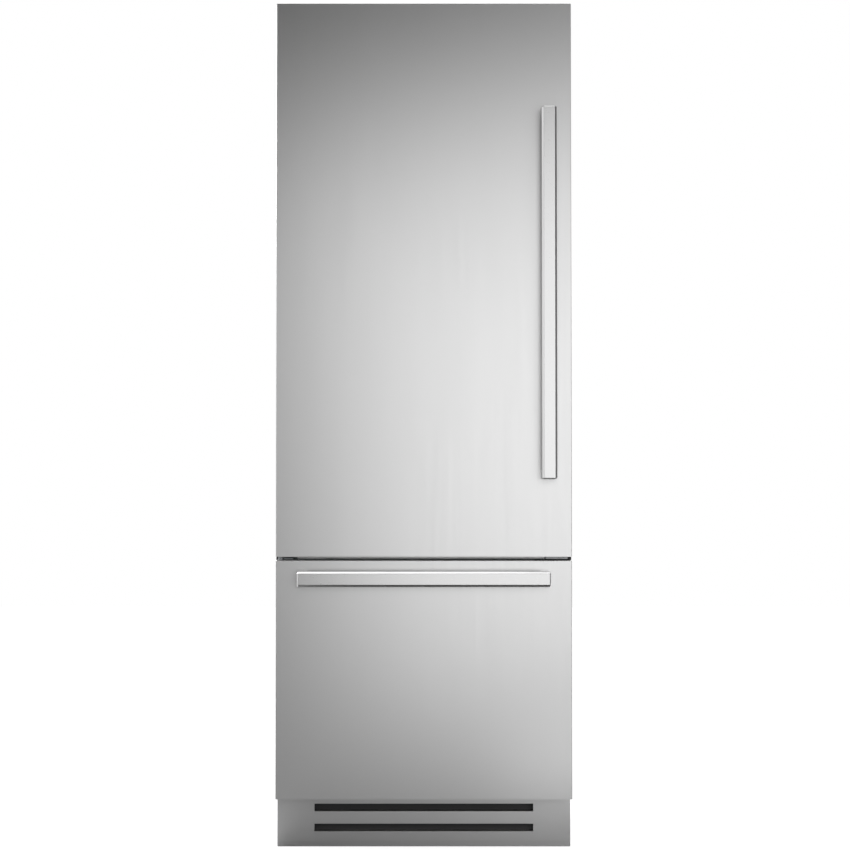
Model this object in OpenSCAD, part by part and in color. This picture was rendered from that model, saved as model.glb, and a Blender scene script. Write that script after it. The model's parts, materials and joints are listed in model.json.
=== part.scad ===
/* [Overall] */
// Width of the door and of the drawer front
front_w = 744; // [720:1:800]
// Height from the floor to the top of the door
overall_h = 2134; // [2080:1:2240]
// Depth of the cabinet behind the fronts
cabinet_d = 560; // [550:1:620]
// How far the casing stands in from the fronts on each side
casing_inset = 3; // [1:0.5:6]
// How far the casing stops below the top of the door
casing_drop = 36; // [30:1:44]
// Thickness of the casing's sheet steel
sheet_t = 1; // [0.8:0.1:1.6]
// How far the rear panel lies inside the casing's rear edges
panel_inset = 4; // [2:0.5:8]

/* [Door and drawer front] */
// Height of the drawer front's lower edge above the floor
toe_h = 129; // [124:1:138]
// Height of the toe panel's lower edge above the floor
toe_up = 1; // [1:1:12]
// Height of the drawer front
drawer_front_h = 597; // [580:1:630]
// Gap between the drawer front and the door
front_gap = 9.5; // [8.5:0.5:11]
// Thickness of the door and of the drawer front
front_t = 62; // [58:1:68]
// Space between the fronts and the cabinet, which the gasket fills
gasket_gap = 13; // [12:0.5:15]
// Thickness of the stainless skins
skin_t = 1; // [0.8:0.1:1.5]
// Width of the skin's hem round the back of the front
hem_w = 10; // [8:1:12]
// Height of the end caps of the door and drawer front
cap_h = 14; // [12:1:20]
// Width of the gasket's magnetic head
gasket_w = 16; // [14:1:18]
// Distance from the compartment's edge to the middle of the gasket
gasket_out = 14; // [12:1:16]
// How far the raised rim of the door liner stands into the cabinet
dyke_d = 45; // [38:1:50]
// Width of the raised rim of the door liner
dyke_w = 14; // [12:1:18]
// Space between the door liner's rim and the compartment wall
dyke_gap = 13; // [12:1:16]
// Space between the drawer liner's rim and the compartment wall
drawer_dyke_gap = 30; // [28:1:36]

/* [Handles] */
// Width of the handle bar seen from the front
bar_w = 38; // [28:1:42]
// Thickness of the handle bar from front to back
bar_d = 20; // [16:1:24]
// Bevel along the bar's two front edges
bar_bevel = 5; // [2:0.5:7]
// How far the handles stand out from the fronts
handle_reach = 56; // [50:1:64]
// Length of the post at each end of a handle
post_l = 23; // [18:1:30]
// Radius of the finger gap's inner corners
grip_r = 11; // [6:1:16]
// Length of the door handle
door_handle_l = 934; // [700:1:1050]
// Height of the door handle's lower end above the door's lower edge
door_handle_up = 195; // [120:1:260]
// Distance from the door's free edge to the middle of its handle
door_handle_in = 58; // [45:1:80]
// Length of the drawer handle
drawer_handle_l = 632; // [500:1:660]
// Distance from the drawer front's upper edge to the middle of its handle
drawer_handle_down = 45; // [34:1:60]

/* [Hinges] */
// Distance from the door's edge to the hinge axis
pivot_in = 12; // [11:0.5:14]
// Distance from the door's front face to the hinge axis
pivot_back = 18; // [17:0.5:21]
// Radius of the hinge pins
pin_r = 5; // [4:0.5:5.5]
// Radial running clearance of pins and axles in their bores
run_fit = 0.05; // [0.03:0.01:0.08]
// Thickness of the hinge plates
hinge_t = 4; // [3:0.5:4.5]
// Half the width of a hinge arm
arm_r = 8; // [7:0.5:9]

/* [Insulated walls] */
// Thickness of the side walls, casing to compartment
side_wall = 53; // [48:1:60]
// Thickness of the rear wall
rear_wall = 62; // [56:1:70]
// Thickness of the ceiling
top_wall = 50; // [46:1:60]
// Height of the wall between the compartments
mullion_h = 80; // [76:1:90]
// Thickness of the freezer's floor
freezer_floor = 50; // [42:1:56]
// Thickness of the plastic liners
liner_t = 2.5; // [2:0.1:3]
// Corner radius of the compartments
liner_r = 20; // [12:1:26]

/* [Fridge fittings] */
// Number of glass shelves above the crisper cover
shelf_count = 3; // [2:1:4]
// Thickness of the shelf glass
glass_t = 4; // [3:0.5:5]
// Height of a shelf frame
shelf_h = 16; // [14:1:20]
// Width of a shelf frame's rails
shelf_rail = 20; // [16:1:26]
// Height of the crisper drawers
crisper_h = 186; // [150:1:210]
// Wall thickness of crispers, bins and baskets
tub_t = 2.5; // [2:0.1:3.5]
// Number of bins on the door
bin_count = 3; // [2:1:4]
// Height of a door bin
bin_h = 100; // [80:1:120]
// Depth of the door bins behind the liner's rim plane
bin_out = 57; // [50:1:60]
// Height of the dairy box at the top of the door
dairy_h = 112; // [96:1:124]
// Depth of the air duct on the rear wall
duct_d = 22; // [18:1:28]
// Width of the air duct
duct_w = 280; // [220:1:340]

/* [Freezer fittings] */
// Space between the telescopic slides and the cover behind them
slide_rear = 10; // [8:1:14]
// Height of the telescopic slides
slide_h = 46; // [42:1:50]
// Thickness of the slide stack from the liner to the drawer's arm
slide_w = 16.5; // [16:0.1:18]
// Height of the freezer basket
basket_h = 202; // [170:1:208]
// Height of the freezer's upper tray
tray_h = 96; // [80:1:104]
// Depth of the evaporator space behind the freezer
evaporator_d = 78; // [74:1:84]

/* [Base] */
// Height of the machine bay's ceiling above the floor
bay_top = 210; // [206:1:216]
// Height of the base frame's underside above the floor
base_up = 30; // [28:1:34]
// Thickness of the base frame's plates
base_t = 2; // [1.5:0.1:3]
// Height of the slots in the toe panel
slot_h = 19; // [14:0.5:22]
// Half the length of the slots
slot_half_l = 277; // [200:1:300]
// Height of the lower slot above the floor
slot_low = 39; // [30:1:42]
// Distance from the lower slot to the upper slot
slot_pitch = 50.5; // [46:0.5:54]
// Radius of a levelling foot
foot_r = 20; // [16:1:26]
// Radius of the rear rollers
roller_r = 18; // [15:1:20]

/* [Hidden] */
$fn = 48;
fit = 0.3;                 // clearance where pieces lie against each other
shell_fit = 0.2;           // clearance round glued and clipped pieces
eps = 1;                   // how far a cut runs past a face
frame_t = 1.2;             // thickness of the cabinet's front frame
deck_t = 1.5;              // thickness of the deck over the machine bay

total_d = cabinet_d + gasket_gap + front_t + handle_reach;
handle_y = -total_d / 2;                 // foremost plane, the handles' faces
front_y = handle_y + handle_reach;       // faces of the fronts
front_back = front_y + front_t;          // backs of the fronts
cab_y = front_back + gasket_gap;         // cabinet's front plane
rear_y = cab_y + cabinet_d;              // cabinet's rear plane
panel_rear = rear_y - panel_inset;       // rear panel's outer face
panel_in = panel_rear - sheet_t;         // rear panel's inner face
fw = front_w / 2;
cw = fw - casing_inset;                  // half the casing's width
iw = cw - side_wall;                     // half the compartments' width
casing_top = overall_h - casing_drop;
back_in = rear_y - rear_wall;            // compartments' rear wall

drawer_z = [toe_h, toe_h + drawer_front_h];
door_z = [drawer_z[1] + front_gap, overall_h];
split_z = drawer_z[1] + front_gap / 2;   // middle of the wall between the compartments
freezer_z = [bay_top + deck_t + freezer_floor, split_z - mullion_h / 2];
fridge_z = [split_z + mullion_h / 2, casing_top - top_wall];
pivot = [-fw + pivot_in, front_y + pivot_back];

// Door liner, bins and dairy box
rim_y = front_back + dyke_d;             // plane of the door liner's rim
door_rim_w = iw - dyke_gap;              // half the width over the rim
drawer_rim_w = iw - drawer_dyke_gap;
bin_w = door_rim_w - dyke_w - 2;         // half a bin's width
bin_back = front_back + fit;
bin_front = rim_y + bin_out;
rim_lift = 14;                           // rim's distance from the compartment's floor and ceiling
pocket = [fw - pivot_in - arm_r - 10, casing_top - 3];  // hinge pocket's inner edge and floor
dairy_z0 = fridge_z[1] - dairy_h - 40;
bin_step = (dairy_z0 - fridge_z[0] - rim_lift - dyke_w - 6) / bin_count;

// Shelves
shelf_front = bin_front + 20;
shelf_back = back_in - duct_d - 1;
ledge = 8;
crisper_floor = 6;
crisper_z0 = fridge_z[0] + crisper_floor + fit;
cover_z = crisper_z0 + crisper_h + 5;    // underside of the crisper cover
panel_h = 38;                            // control panel's height
panel_d = 150;                           // its depth
panel_face = 24;                         // depth of its sloping face
panel_behind = 22;                       // space between it and the door liner's rim
panel_side = 6;                          // space between it and the corner rounds
shelf_step = (fridge_z[1] - panel_h - cover_z - shelf_h) / (shelf_count + 1);
shelf_side = 2;                          // space between shelf and wall
middle_gap = 8;                          // space between the two crispers
crisper_side = 18;                       // space between a crisper and the wall
runner_w = 8;
runner_in = 20;                          // runners from the crispers' sides

// Freezer
cover_y = back_in - evaporator_d;        // front of the freezer's rear cover
slide_front = cab_y + 10;
slide_l = cover_y - slide_rear - slide_front;
slide_z = freezer_z[0] + 62;             // middle of the slides
slide_m = 1.5;                           // thickness of the slides' steel
slide_gap = 0.6;                         // space between nested slide members
arm_t = 2.5;
arm_x = iw - slide_w;                    // outer face of the drawer's arms
basket_w = arm_x - arm_t - 22;           // half the basket's width
basket_z0 = freezer_z[0] + 8;
lip_t = 4;
tray_z0 = basket_z0 + basket_h + 20;
tray_w = iw - 33;
tray_lip = tray_w + 21;
tray_front = cab_y + 40;
tray_back = cover_y - slide_rear;
fan_c = [0, freezer_z[1] - 78];          // evaporator fan's centre, x and z
fan_r = 50;

// Machine bay
toe_sheet = 1.2;
toe_y = cab_y - toe_sheet - fit;         // toe panel's face
toe_w = fw - 1;
foot_in = 60;                            // feet from the casing's sides
foot_behind = 70;                        // feet from the toe panel
foot_x = cw - foot_in;
foot_y = toe_y + foot_behind;
foot_stem_r = 5;
roller_in = 70;                          // rollers from the casing's sides
roller_rear = 70;                        // rollers from the rear panel
roller_x = cw - roller_in;
roller_y = rear_y - roller_rear;
axle_r = 4;
roller_w = 16;
fork_t = 2.4;                            // thickness of the roller forks
bay_fan_in = 145;                        // condenser fan's centre from the casing's left side,
bay_fan_behind = 235;                    // from the toe panel
bay_fan_up = 118;                        // and above the floor
bay_fan = [-cw + bay_fan_in, toe_y + bay_fan_behind, bay_fan_up];
bay_fan_r = 64;
housing_rim = 14;                        // how far the fan housing reaches past the fan
housing_d = 28;                          // depth of the fan housing
bay_motor_r = 22;
bay_motor_l = 44;
bay_shaft_r = 2.5;
passes = 6;                              // tube passes of the fin coils
coil_end = 8;                            // how far the tubes stand out of the fins
cond_tube_r = 3.5;
evap_tube_r = 4;
cond_in = 40;                            // condenser from the casing's left side
cond_w = 210;
cond_behind = 120;                       // condenser from the toe panel
cond_d = 60;
cond_up = 10;                            // condenser above the base plate
cond_drop = 24;                          // condenser below the deck
cond_x = [-cw + cond_in, -cw + cond_in + cond_w];
cond_y = [toe_y + cond_behind, toe_y + cond_behind + cond_d];
cond_z = [base_up + base_t + cond_up, bay_top - cond_drop];
evap_in = 86;                            // evaporator from the compartment's walls
evap_up = 34;                            // evaporator above the compartment's floor
hanger_in = 80;                          // hangers from the ends of the evaporator
evap_x = [-iw + evap_in, iw - evap_in];
evap_y = [cover_y + 12, back_in - 10];
evap_z = [freezer_z[0] + evap_up, fan_c[1] - fan_r - 10];
stub_l = 10;                             // length of the compressor's pipe stubs
stub_r = 6;
discharge = [-12, 60];                   // stub's place on the shell, across and above the base
suction = [26, 76];
inlet_in = 184;                          // mains inlet from the casing's right side
inlet_up = 24;                           // mains inlet above the base plate's underside
inlet = [cw - inlet_in, base_up + inlet_up];
board_w = 140;                           // control box
board_d = 78;
board_h = 88;
drip_in = 110;                           // drip tray from the casing's left side
drip_w = 220;
drip_d = 170;
drip_h = 46;
drip_rear = 60;                          // drip tray from the rear panel
return_d = 24;                           // depth of the toe panel's folded returns
comp_in = 190;                           // compressor's axis from the casing's right side
comp_rear = 185;                         // and from the rear panel
comp_c = [cw - comp_in, rear_y - comp_rear];
comp_r = 84;
comp_h = 150;
dome_r = 130;                            // radius of the compressor's domed top

// Fastenings on the roof
bracket_w = 340;                         // wall bracket
bracket_h = 30;
bracket_d = 60;
bracket_t = 2;
bracket_pitch = 240;                     // distance between the wall screws
bracket_hole_up = 18;
wall_hole_r = 3.5;
hinge_plate = 60;                        // side of the upper hinge's plate
hinge_screw_in = [16, 14];               // its first screw from the plate's corner
hinge_screw_pitch = [28, 30];

function tube_z(z, i) = z[0] + (i + 0.5) * (z[1] - z[0]) / passes;
function slot_z(i) = [slot_low + i * slot_pitch, slot_low + i * slot_pitch + slot_h];

// Box between two values on each axis
module span(x, y, z) {
    translate([x[0], y[0], z[0]])
        cube([x[1] - x[0], y[1] - y[0], z[1] - z[0]]);
}

// Rounded rectangle with true arcs
module round_rect(w, h, r) {
    square([w, h - 2 * r], center = true);
    square([w - 2 * r, h], center = true);
    for (sx = [-1, 1], sy = [-1, 1])
        translate([sx * (w / 2 - r), sy * (h / 2 - r)])
            circle(r);
}

// Extrudes a front-view outline from y[0] to y[1], centred on height z
module upright(y, z) {
    translate([0, y[1], z])
        rotate([90, 0, 0])
            linear_extrude(y[1] - y[0])
                children();
}

// Extrudes a plan outline between two heights
module prism(z) {
    translate([0, 0, z[0]])
        linear_extrude(z[1] - z[0])
            children();
}

// Rounded frame seen from the front: outer half width and heights, band width
module ring(half_w, z, r, band, y) {
    h = z[1] - z[0];
    upright(y, (z[0] + z[1]) / 2)
        difference() {
            round_rect(2 * half_w, h, r);
            round_rect(2 * (half_w - band), h - 2 * band, max(r - band, 2));
        }
}

// Rounded block seen from the front
module block(half_w, z, r, y) {
    upright(y, (z[0] + z[1]) / 2)
        round_rect(2 * half_w, z[1] - z[0], r);
}

// Open-topped tub with rounded corners, given by its outer ranges
module tub(x, y, z, r, t) {
    c = [(x[0] + x[1]) / 2, (y[0] + y[1]) / 2];
    w = x[1] - x[0];
    d = y[1] - y[0];
    difference() {
        translate(c) prism(z) round_rect(w, d, r);
        translate(c) prism([z[0] + t, z[1] + eps]) round_rect(w - 2 * t, d - 2 * t, r - t);
    }
}

// Pipe through a list of points, with brazed elbows
module pipe(points, r) {
    for (i = [0 : len(points) - 2]) {
        d = points[i + 1] - points[i];
        translate(points[i])
            rotate([0, acos(d[2] / norm(d)), atan2(d[1], d[0])])
                cylinder(r = r, h = norm(d));
    }
    for (i = [1 : len(points) - 2])
        translate(points[i])
            sphere(r * 1.25);
}

// Fin-and-tube coil between two corners, tubes along X, both free ends on the right
module fin_coil(x, y, z, fins, tube_r) {
    fin_t = 0.8;
    bend_r = tube_r + 0.2;   // return bends are brazed over the tube ends
    step = (z[1] - z[0]) / passes;
    mid_y = (y[0] + y[1]) / 2;
    for (i = [0 : fins - 1])
        span(let (px = x[0] + i * (x[1] - x[0] - fin_t) / (fins - 1)) [px, px + fin_t], y, z);
    for (i = [0 : passes - 1])
        translate([x[0] - coil_end, mid_y, tube_z(z, i)])
            rotate([0, 90, 0])
                cylinder(r = tube_r, h = x[1] - x[0] + 2 * coil_end);
    for (i = [0 : passes - 2]) {
        right = i % 2 == 1;
        translate([right ? x[1] + coil_end : x[0] - coil_end, mid_y, z[0] + (i + 1) * step])
            rotate([90, 0, 0])
                rotate([0, 0, right ? -90 : 90])
                    rotate_extrude(angle = 180)
                        translate([step / 2, 0])
                            circle(bend_r);
    }
}

// Axial fan about Y: hub and pitched blades
module fan_rotor(r, hub_r, depth, blades, shaft_r) {
    rotate([90, 0, 0]) {
        difference() {
            cylinder(r = hub_r, h = depth, center = true);
            cylinder(r = shaft_r + run_fit, h = depth + 2 * eps, center = true);
        }
        intersection() {
            difference() {
                cylinder(r = r, h = depth, center = true);
                cylinder(r = hub_r - 1, h = depth + 2 * eps, center = true);
            }
            for (i = [0 : blades - 1])
                rotate([0, 0, i * 360 / blades])
                    translate([r / 2, 0, 0])
                        rotate([34, 0, 0])
                            cube([r + 4, r * 0.72, 2], center = true);
        }
    }
}

// Cabinet shell

module outer_casing() {
    color("gainsboro") {
        for (s = [-1, 1])
            span(s > 0 ? [cw - sheet_t, cw] : [-cw, -cw + sheet_t], [cab_y, rear_y], [base_up, casing_top]);
        span([-cw, cw], [cab_y, rear_y], [casing_top - sheet_t, casing_top]);
    }
}

module rear_panel() {
    vents = 9;
    vent_w = 34;
    color("lightgrey")
        difference() {
            span([-cw + sheet_t, cw - sheet_t], [panel_in, panel_rear],
                 [base_up + 8, casing_top - sheet_t]);
            for (i = [0 : vents - 1], row = [0 : 3])
                span(let (px = -cw + 90 + i * (2 * cw - 180 - vent_w) / (vents - 1)) [px, px + vent_w],
                     [panel_in - eps, panel_rear + eps],
                     [base_up + 50 + row * 24, base_up + 56 + row * 24]);
            // opening round the mains inlet
            span([inlet[0] - 15 - fit, inlet[0] + 15 + fit], [panel_in - eps, panel_rear + eps],
                 [inlet[1] - 12 - fit, inlet[1] + 12 + fit]);
        }
}

module liner_hole(z, y) {
    block(iw + liner_t, [z[0] - liner_t, z[1] + liner_t], liner_r + liner_t, y);
}

module front_frame() {
    color("silver")
        difference() {
            span([-cw + sheet_t, cw - sheet_t], [cab_y, cab_y + frame_t], [bay_top, casing_top - sheet_t]);
            liner_hole(fridge_z, [cab_y - eps, cab_y + frame_t + eps]);
            liner_hole(freezer_z, [cab_y - eps, cab_y + frame_t + eps]);
        }
}

module fridge_insulation() {
    color("lemonchiffon")
        difference() {
            span([-cw + sheet_t, cw - sheet_t], [cab_y + frame_t, panel_in],
                 [split_z, casing_top - sheet_t]);
            liner_hole(fridge_z, [cab_y, back_in + liner_t]);
        }
}

module freezer_insulation() {
    color("lemonchiffon")
        difference() {
            span([-cw + sheet_t, cw - sheet_t], [cab_y + frame_t, panel_in],
                 [bay_top + deck_t, split_z]);
            liner_hole(freezer_z, [cab_y, back_in + liner_t]);
        }
}

module liner_shell(z) {
    difference() {
        liner_hole(z, [cab_y, back_in + liner_t]);
        block(iw, z, liner_r, [cab_y - eps, back_in]);
    }
}

module fridge_liner() {
    color("white") {
        liner_shell(fridge_z);
        // ledges that carry the shelves and the crisper cover
        for (i = [0 : shelf_count], s = [-1, 1])
            span(s > 0 ? [iw - ledge, iw] : [-iw, -iw + ledge], [shelf_front + 12, shelf_back - 4],
                 [shelf_z(i) - ledge, shelf_z(i)]);
        // runners that the crispers slide on
        for (x = [middle_gap / 2 + runner_in, iw - crisper_side - runner_in - runner_w], s = [0, 1])
            mirror([s, 0, 0])
                span([x, x + runner_w], [shelf_front + 6, back_in - 4],
                     [fridge_z[0], fridge_z[0] + crisper_floor]);
    }
}

module freezer_liner() {
    runner_z = tray_z0 + tray_h - lip_t - fit;
    color("white") {
        liner_shell(freezer_z);
        // moulded runners that carry the tray's rim
        for (x = [[-iw, -iw + 22], [iw - 22, iw]])
            span(x, [tray_front - 6, tray_back + 4], [runner_z - 8, runner_z]);
    }
}

module machine_bay_deck() {
    color("silver")
        span([-cw + sheet_t, cw - sheet_t], [cab_y + frame_t, panel_in], [bay_top, bay_top + deck_t]);
}

// Shelves

function shelf_z(i) = cover_z + i * shelf_step;   // underside of shelf i; 0 is the crisper cover

module shelf_frame(i) {
    w = iw - shelf_side;
    z = shelf_z(i);
    difference() {
        span([-w, w], [shelf_front, shelf_back], [z, z + shelf_h]);
        // window under the glass
        span([-w + shelf_rail, w - shelf_rail], [shelf_front + shelf_rail, shelf_back - shelf_rail],
             [z - eps, z + shelf_h + eps]);
        // rebate that the glass lies in
        span([-w + 8, w - 8], [shelf_front + 8, shelf_back - 8],
             [z + shelf_h - glass_t, z + shelf_h + eps]);
    }
}

module shelf_glass() {
    w = iw - shelf_side - 8 - shell_fit;
    color("lightcyan")
        for (i = [0 : shelf_count])
            span([-w, w], [shelf_front + 8 + shell_fit, shelf_back - 8 - shell_fit],
                 [shelf_z(i) + shelf_h - glass_t, shelf_z(i) + shelf_h]);
}

module shelf_frames() {
    color("silver")
        for (i = [1 : shelf_count])
            shelf_frame(i);
}

module crisper_cover() {
    color("silver")
        shelf_frame(0);
}

// Fridge interior

module air_duct() {
    z = [cover_z + shelf_h + 6, fridge_z[1] - 6];
    color("whitesmoke")
        difference() {
            span([-duct_w / 2, duct_w / 2], [back_in - duct_d, back_in], z);
            // air channels moulded in the back
            for (s = [-1, 1])
                span(s > 0 ? [30, 70] : [-70, -30], [back_in - duct_d + 8, back_in + eps],
                     [z[0] - eps, z[1] - 40]);
            // outlets above each shelf
            for (i = [0 : shelf_count], s = [-1, 1])
                span(s > 0 ? [36, 64] : [-64, -36], [back_in - duct_d - eps, back_in - 10],
                     [shelf_z(i) + shelf_step * 0.62, shelf_z(i) + shelf_step * 0.62 + 12]);
        }
}

module side_lights() {
    color("white")
        for (s = [-1, 1])
            span(s > 0 ? [iw - 4, iw] : [-iw, -iw + 4], [bin_front + 3, bin_front + 15],
                 [cover_z + 30, fridge_z[1] - panel_h - 30]);
}

module control_panel() {
    top = fridge_z[1];
    y = rim_y + panel_behind;
    half = iw - liner_r - panel_side;
    color("dimgrey")
        translate([-half, 0, 0])
            rotate([90, 0, 90])
                linear_extrude(2 * half)
                    polygon([[y, top], [y, top - panel_h * 0.45], [y + panel_face, top - panel_h],
                             [y + panel_d, top - panel_h], [y + panel_d, top]]);
}

// Doors: pieces shared by the door and the drawer front

module pocket_cut(y0) {
    span([-fw - eps, -pocket[0]], [y0, front_back + eps], [pocket[1], overall_h - skin_t]);
}

module front_skin(z) {
    span([-fw, fw], [front_y, front_y + skin_t], z);
    for (s = [-1, 1]) {
        span(s > 0 ? [fw - skin_t, fw] : [-fw, -fw + skin_t], [front_y, front_back], z);
        span(s > 0 ? [fw - hem_w, fw] : [-fw, -fw + hem_w], [front_back - skin_t, front_back], z);
    }
    span([-fw, fw], [front_y, front_back], [z[1] - skin_t, z[1]]);
}

module front_cap(z) {
    w = fw - skin_t - shell_fit;
    span([-w, w], [front_y + skin_t + shell_fit, front_back - skin_t - shell_fit], z);
}

// Foam slab behind the skin, and a bar in each straight stretch of the liner's hollow rim
module front_core(z, rim_w, rim_z) {
    w = fw - skin_t;
    hollow_w = rim_w - liner_t;
    hollow_z = [rim_z[0] + liner_t, rim_z[1] - liner_t];
    band = dyke_w - 2 * liner_t;
    y = [front_back - liner_t + fit, rim_y - liner_t - fit];
    span([-w, w], [front_y + skin_t, front_back - liner_t], [z[0] + cap_h, z[1] - skin_t - cap_h]);
    both_sides()
        span([hollow_w - band + fit, hollow_w - fit], y, [hollow_z[0] + liner_r, hollow_z[1] - liner_r]);
    for (h = [hollow_z[0], hollow_z[1] - band])
        span([-hollow_w + liner_r, hollow_w - liner_r], y, [h + fit, h + band - fit]);
}

module front_liner(z, rim_w, rim_z) {
    w = fw - hem_w - shell_fit;
    difference() {
        union() {
            span([-w, w], [front_back - liner_t, front_back], [z[0] + cap_h, z[1] - skin_t - cap_h]);
            ring(rim_w, rim_z, liner_r + liner_t, dyke_w, [front_back - eps, rim_y]);
        }
        ring(rim_w - liner_t, [rim_z[0] + liner_t, rim_z[1] - liner_t], liner_r, dyke_w - 2 * liner_t,
             [front_back - liner_t - eps, rim_y - liner_t]);
    }
}

// Magnetic gasket: foot, bellows and head
module gasket(z) {
    w = iw + gasket_out + gasket_w / 2;
    oz = [z[0] - gasket_out - gasket_w / 2, z[1] + gasket_out + gasket_w / 2];
    foot_d = 3;
    head_d = 4;
    waist = 3;
    r = liner_r + gasket_out;
    ring(w, oz, r, gasket_w, [front_back, front_back + foot_d]);
    ring(w - waist, [oz[0] + waist, oz[1] - waist], r - waist, gasket_w - 2 * waist,
         [front_back + foot_d - eps, cab_y - fit - head_d + eps]);
    ring(w - 1, [oz[0] + 1, oz[1] - 1], r - 1, gasket_w - 2, [cab_y - fit - head_d, cab_y - fit]);
}

door_rim_z = [fridge_z[0] + rim_lift, fridge_z[1] - rim_lift];
drawer_rim_z = [freezer_z[0] + rim_lift, freezer_z[1] - rim_lift];

module hinge_bores() {
    for (z = [[door_z[0] - eps, door_z[0] + cap_h + 4], [pocket[1] - cap_h - 4, pocket[1] + eps]])
        translate([pivot[0], pivot[1], z[0]])
            cylinder(r = pin_r + run_fit, h = z[1] - z[0]);
}

module door_skin() {
    color("silver")
        difference() {
            front_skin(door_z);
            pocket_cut(front_y + 3);
        }
}

module door_end_caps() {
    color("dimgrey")
        difference() {
            union() {
                front_cap([door_z[0], door_z[0] + cap_h]);
                difference() {
                    front_cap([door_z[1] - skin_t - cap_h, door_z[1] - skin_t]);
                    pocket_cut(front_y);
                }
                // floor and side of the hinge pocket
                intersection() {
                    front_cap([pocket[1] - cap_h, door_z[1] - skin_t]);
                    union() {
                        span([-fw, -pocket[0] + 3], [front_y, front_back], [pocket[1] - cap_h, pocket[1]]);
                        span([-pocket[0], -pocket[0] + 3], [front_y, front_back],
                             [pocket[1] - cap_h, door_z[1]]);
                    }
                }
            }
            hinge_bores();
        }
}

module pocket_block(grow) {
    span([-fw - eps, -pocket[0] + 3 + grow], [front_y, front_back + eps],
         [pocket[1] - cap_h - grow, overall_h]);
}

module door_insulation() {
    color("lemonchiffon")
        difference() {
            front_core(door_z, door_rim_w, door_rim_z);
            pocket_block(0);
            // pockets that the hinge pins reach into past the caps
            for (z = [[door_z[0], door_z[0] + cap_h + 6], [pocket[1] - cap_h - 6, pocket[1]]])
                translate([pivot[0], pivot[1], z[0]])
                    cylinder(r = pin_r + 2, h = z[1] - z[0]);
        }
}

module door_liner() {
    color("white")
        difference() {
            front_liner(door_z, door_rim_w, door_rim_z);
            pocket_block(0);
        }
}

module door_gasket() {
    color("grey")
        gasket(fridge_z);
}

module drawer_skin() {
    color("silver")
        front_skin(drawer_z);
}

module drawer_end_caps() {
    color("dimgrey") {
        front_cap([drawer_z[0], drawer_z[0] + cap_h]);
        front_cap([drawer_z[1] - skin_t - cap_h, drawer_z[1] - skin_t]);
    }
}

module drawer_insulation() {
    color("lemonchiffon")
        front_core(drawer_z, drawer_rim_w, drawer_rim_z);
}

module drawer_liner() {
    color("white")
        front_liner(drawer_z, drawer_rim_w, drawer_rim_z);
}

module drawer_gasket() {
    color("grey")
        gasket(freezer_z);
}

// Bar handle of length l along X, cut from one solid bar, with its back on the plane y = 0
module bar_handle(l) {
    b = bar_bevel;
    gap = [l - 2 * post_l, handle_reach - bar_d];
    r = grip_r;
    difference() {
        translate([-l / 2, 0, 0])
            rotate([90, 0, 90])
                linear_extrude(l)
                    polygon([[0, -bar_w / 2], [0, bar_w / 2], [-handle_reach + b, bar_w / 2],
                             [-handle_reach, bar_w / 2 - b], [-handle_reach, -bar_w / 2 + b],
                             [-handle_reach + b, -bar_w / 2]]);
        // finger gap with rounded inner corners
        translate([0, 0, -bar_w / 2 - eps])
            linear_extrude(bar_w + 2 * eps) {
                translate([-gap[0] / 2, -gap[1] + r])
                    square([gap[0], gap[1] - r + eps]);
                translate([-gap[0] / 2 + r, -gap[1]])
                    square([gap[0] - 2 * r, r + eps]);
                for (s = [-1, 1])
                    translate([s * (gap[0] / 2 - r), -gap[1] + r])
                        circle(r);
            }
    }
}

module door_handle() {
    color("gainsboro")
        translate([fw - door_handle_in, front_y, door_z[0] + door_handle_up + door_handle_l / 2])
            rotate([0, 90, 0])
                bar_handle(door_handle_l);
}

module drawer_handle() {
    color("gainsboro")
        translate([0, front_y, drawer_z[1] - drawer_handle_down])
            bar_handle(drawer_handle_l);
}

// Door fittings

module door_bin(i) {
    z = fridge_z[0] + rim_lift + dyke_w + 4 + (i - 1) * bin_step;
    color("lightcyan") {
        difference() {
            tub([-bin_w, bin_w], [bin_back, bin_front], [z, z + bin_h], 14, tub_t);
            // lower back edge
            span([-bin_w + 14, bin_w - 14], [bin_back - eps, bin_back + tub_t + eps],
                 [z + bin_h * 0.6, z + bin_h + eps]);
        }
        // hooks that sit on the liner's rim
        for (s = [-1, 1])
            span(s > 0 ? [bin_w - tub_t, bin_w + 2 - fit] : [-bin_w - 2 + fit, -bin_w + tub_t],
                 [bin_back + 24, rim_y - 8], [z + 20, z + 44]);
    }
}

lid_pin = [bin_front - 8, dairy_z0 + dairy_h - 14];   // y and z of the lid's axis
lid_pin_r = 2.5;

module dairy_box() {
    x = [-bin_w, bin_w];
    z = [dairy_z0, dairy_z0 + dairy_h];
    color("whitesmoke")
        difference() {
            union() {
                span(x, [bin_back, bin_front - 3], [z[0], z[0] + tub_t]);
                span(x, [bin_back, bin_back + tub_t], z);
                span(x, [bin_back, bin_front - 20], [z[1] - tub_t, z[1]]);
                for (s = [-1, 1])
                    span(s > 0 ? [bin_w - tub_t, bin_w] : [-bin_w, -bin_w + tub_t],
                         [bin_back, bin_front - 3], z);
                span(x, [bin_front - 3 - tub_t, bin_front - 3], [z[0], z[0] + 18]);
            }
            translate([0, lid_pin[0], lid_pin[1]])
                rotate([0, 90, 0])
                    cylinder(r = lid_pin_r + run_fit, h = 2 * bin_w + 2 * eps, center = true);
        }
}

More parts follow.
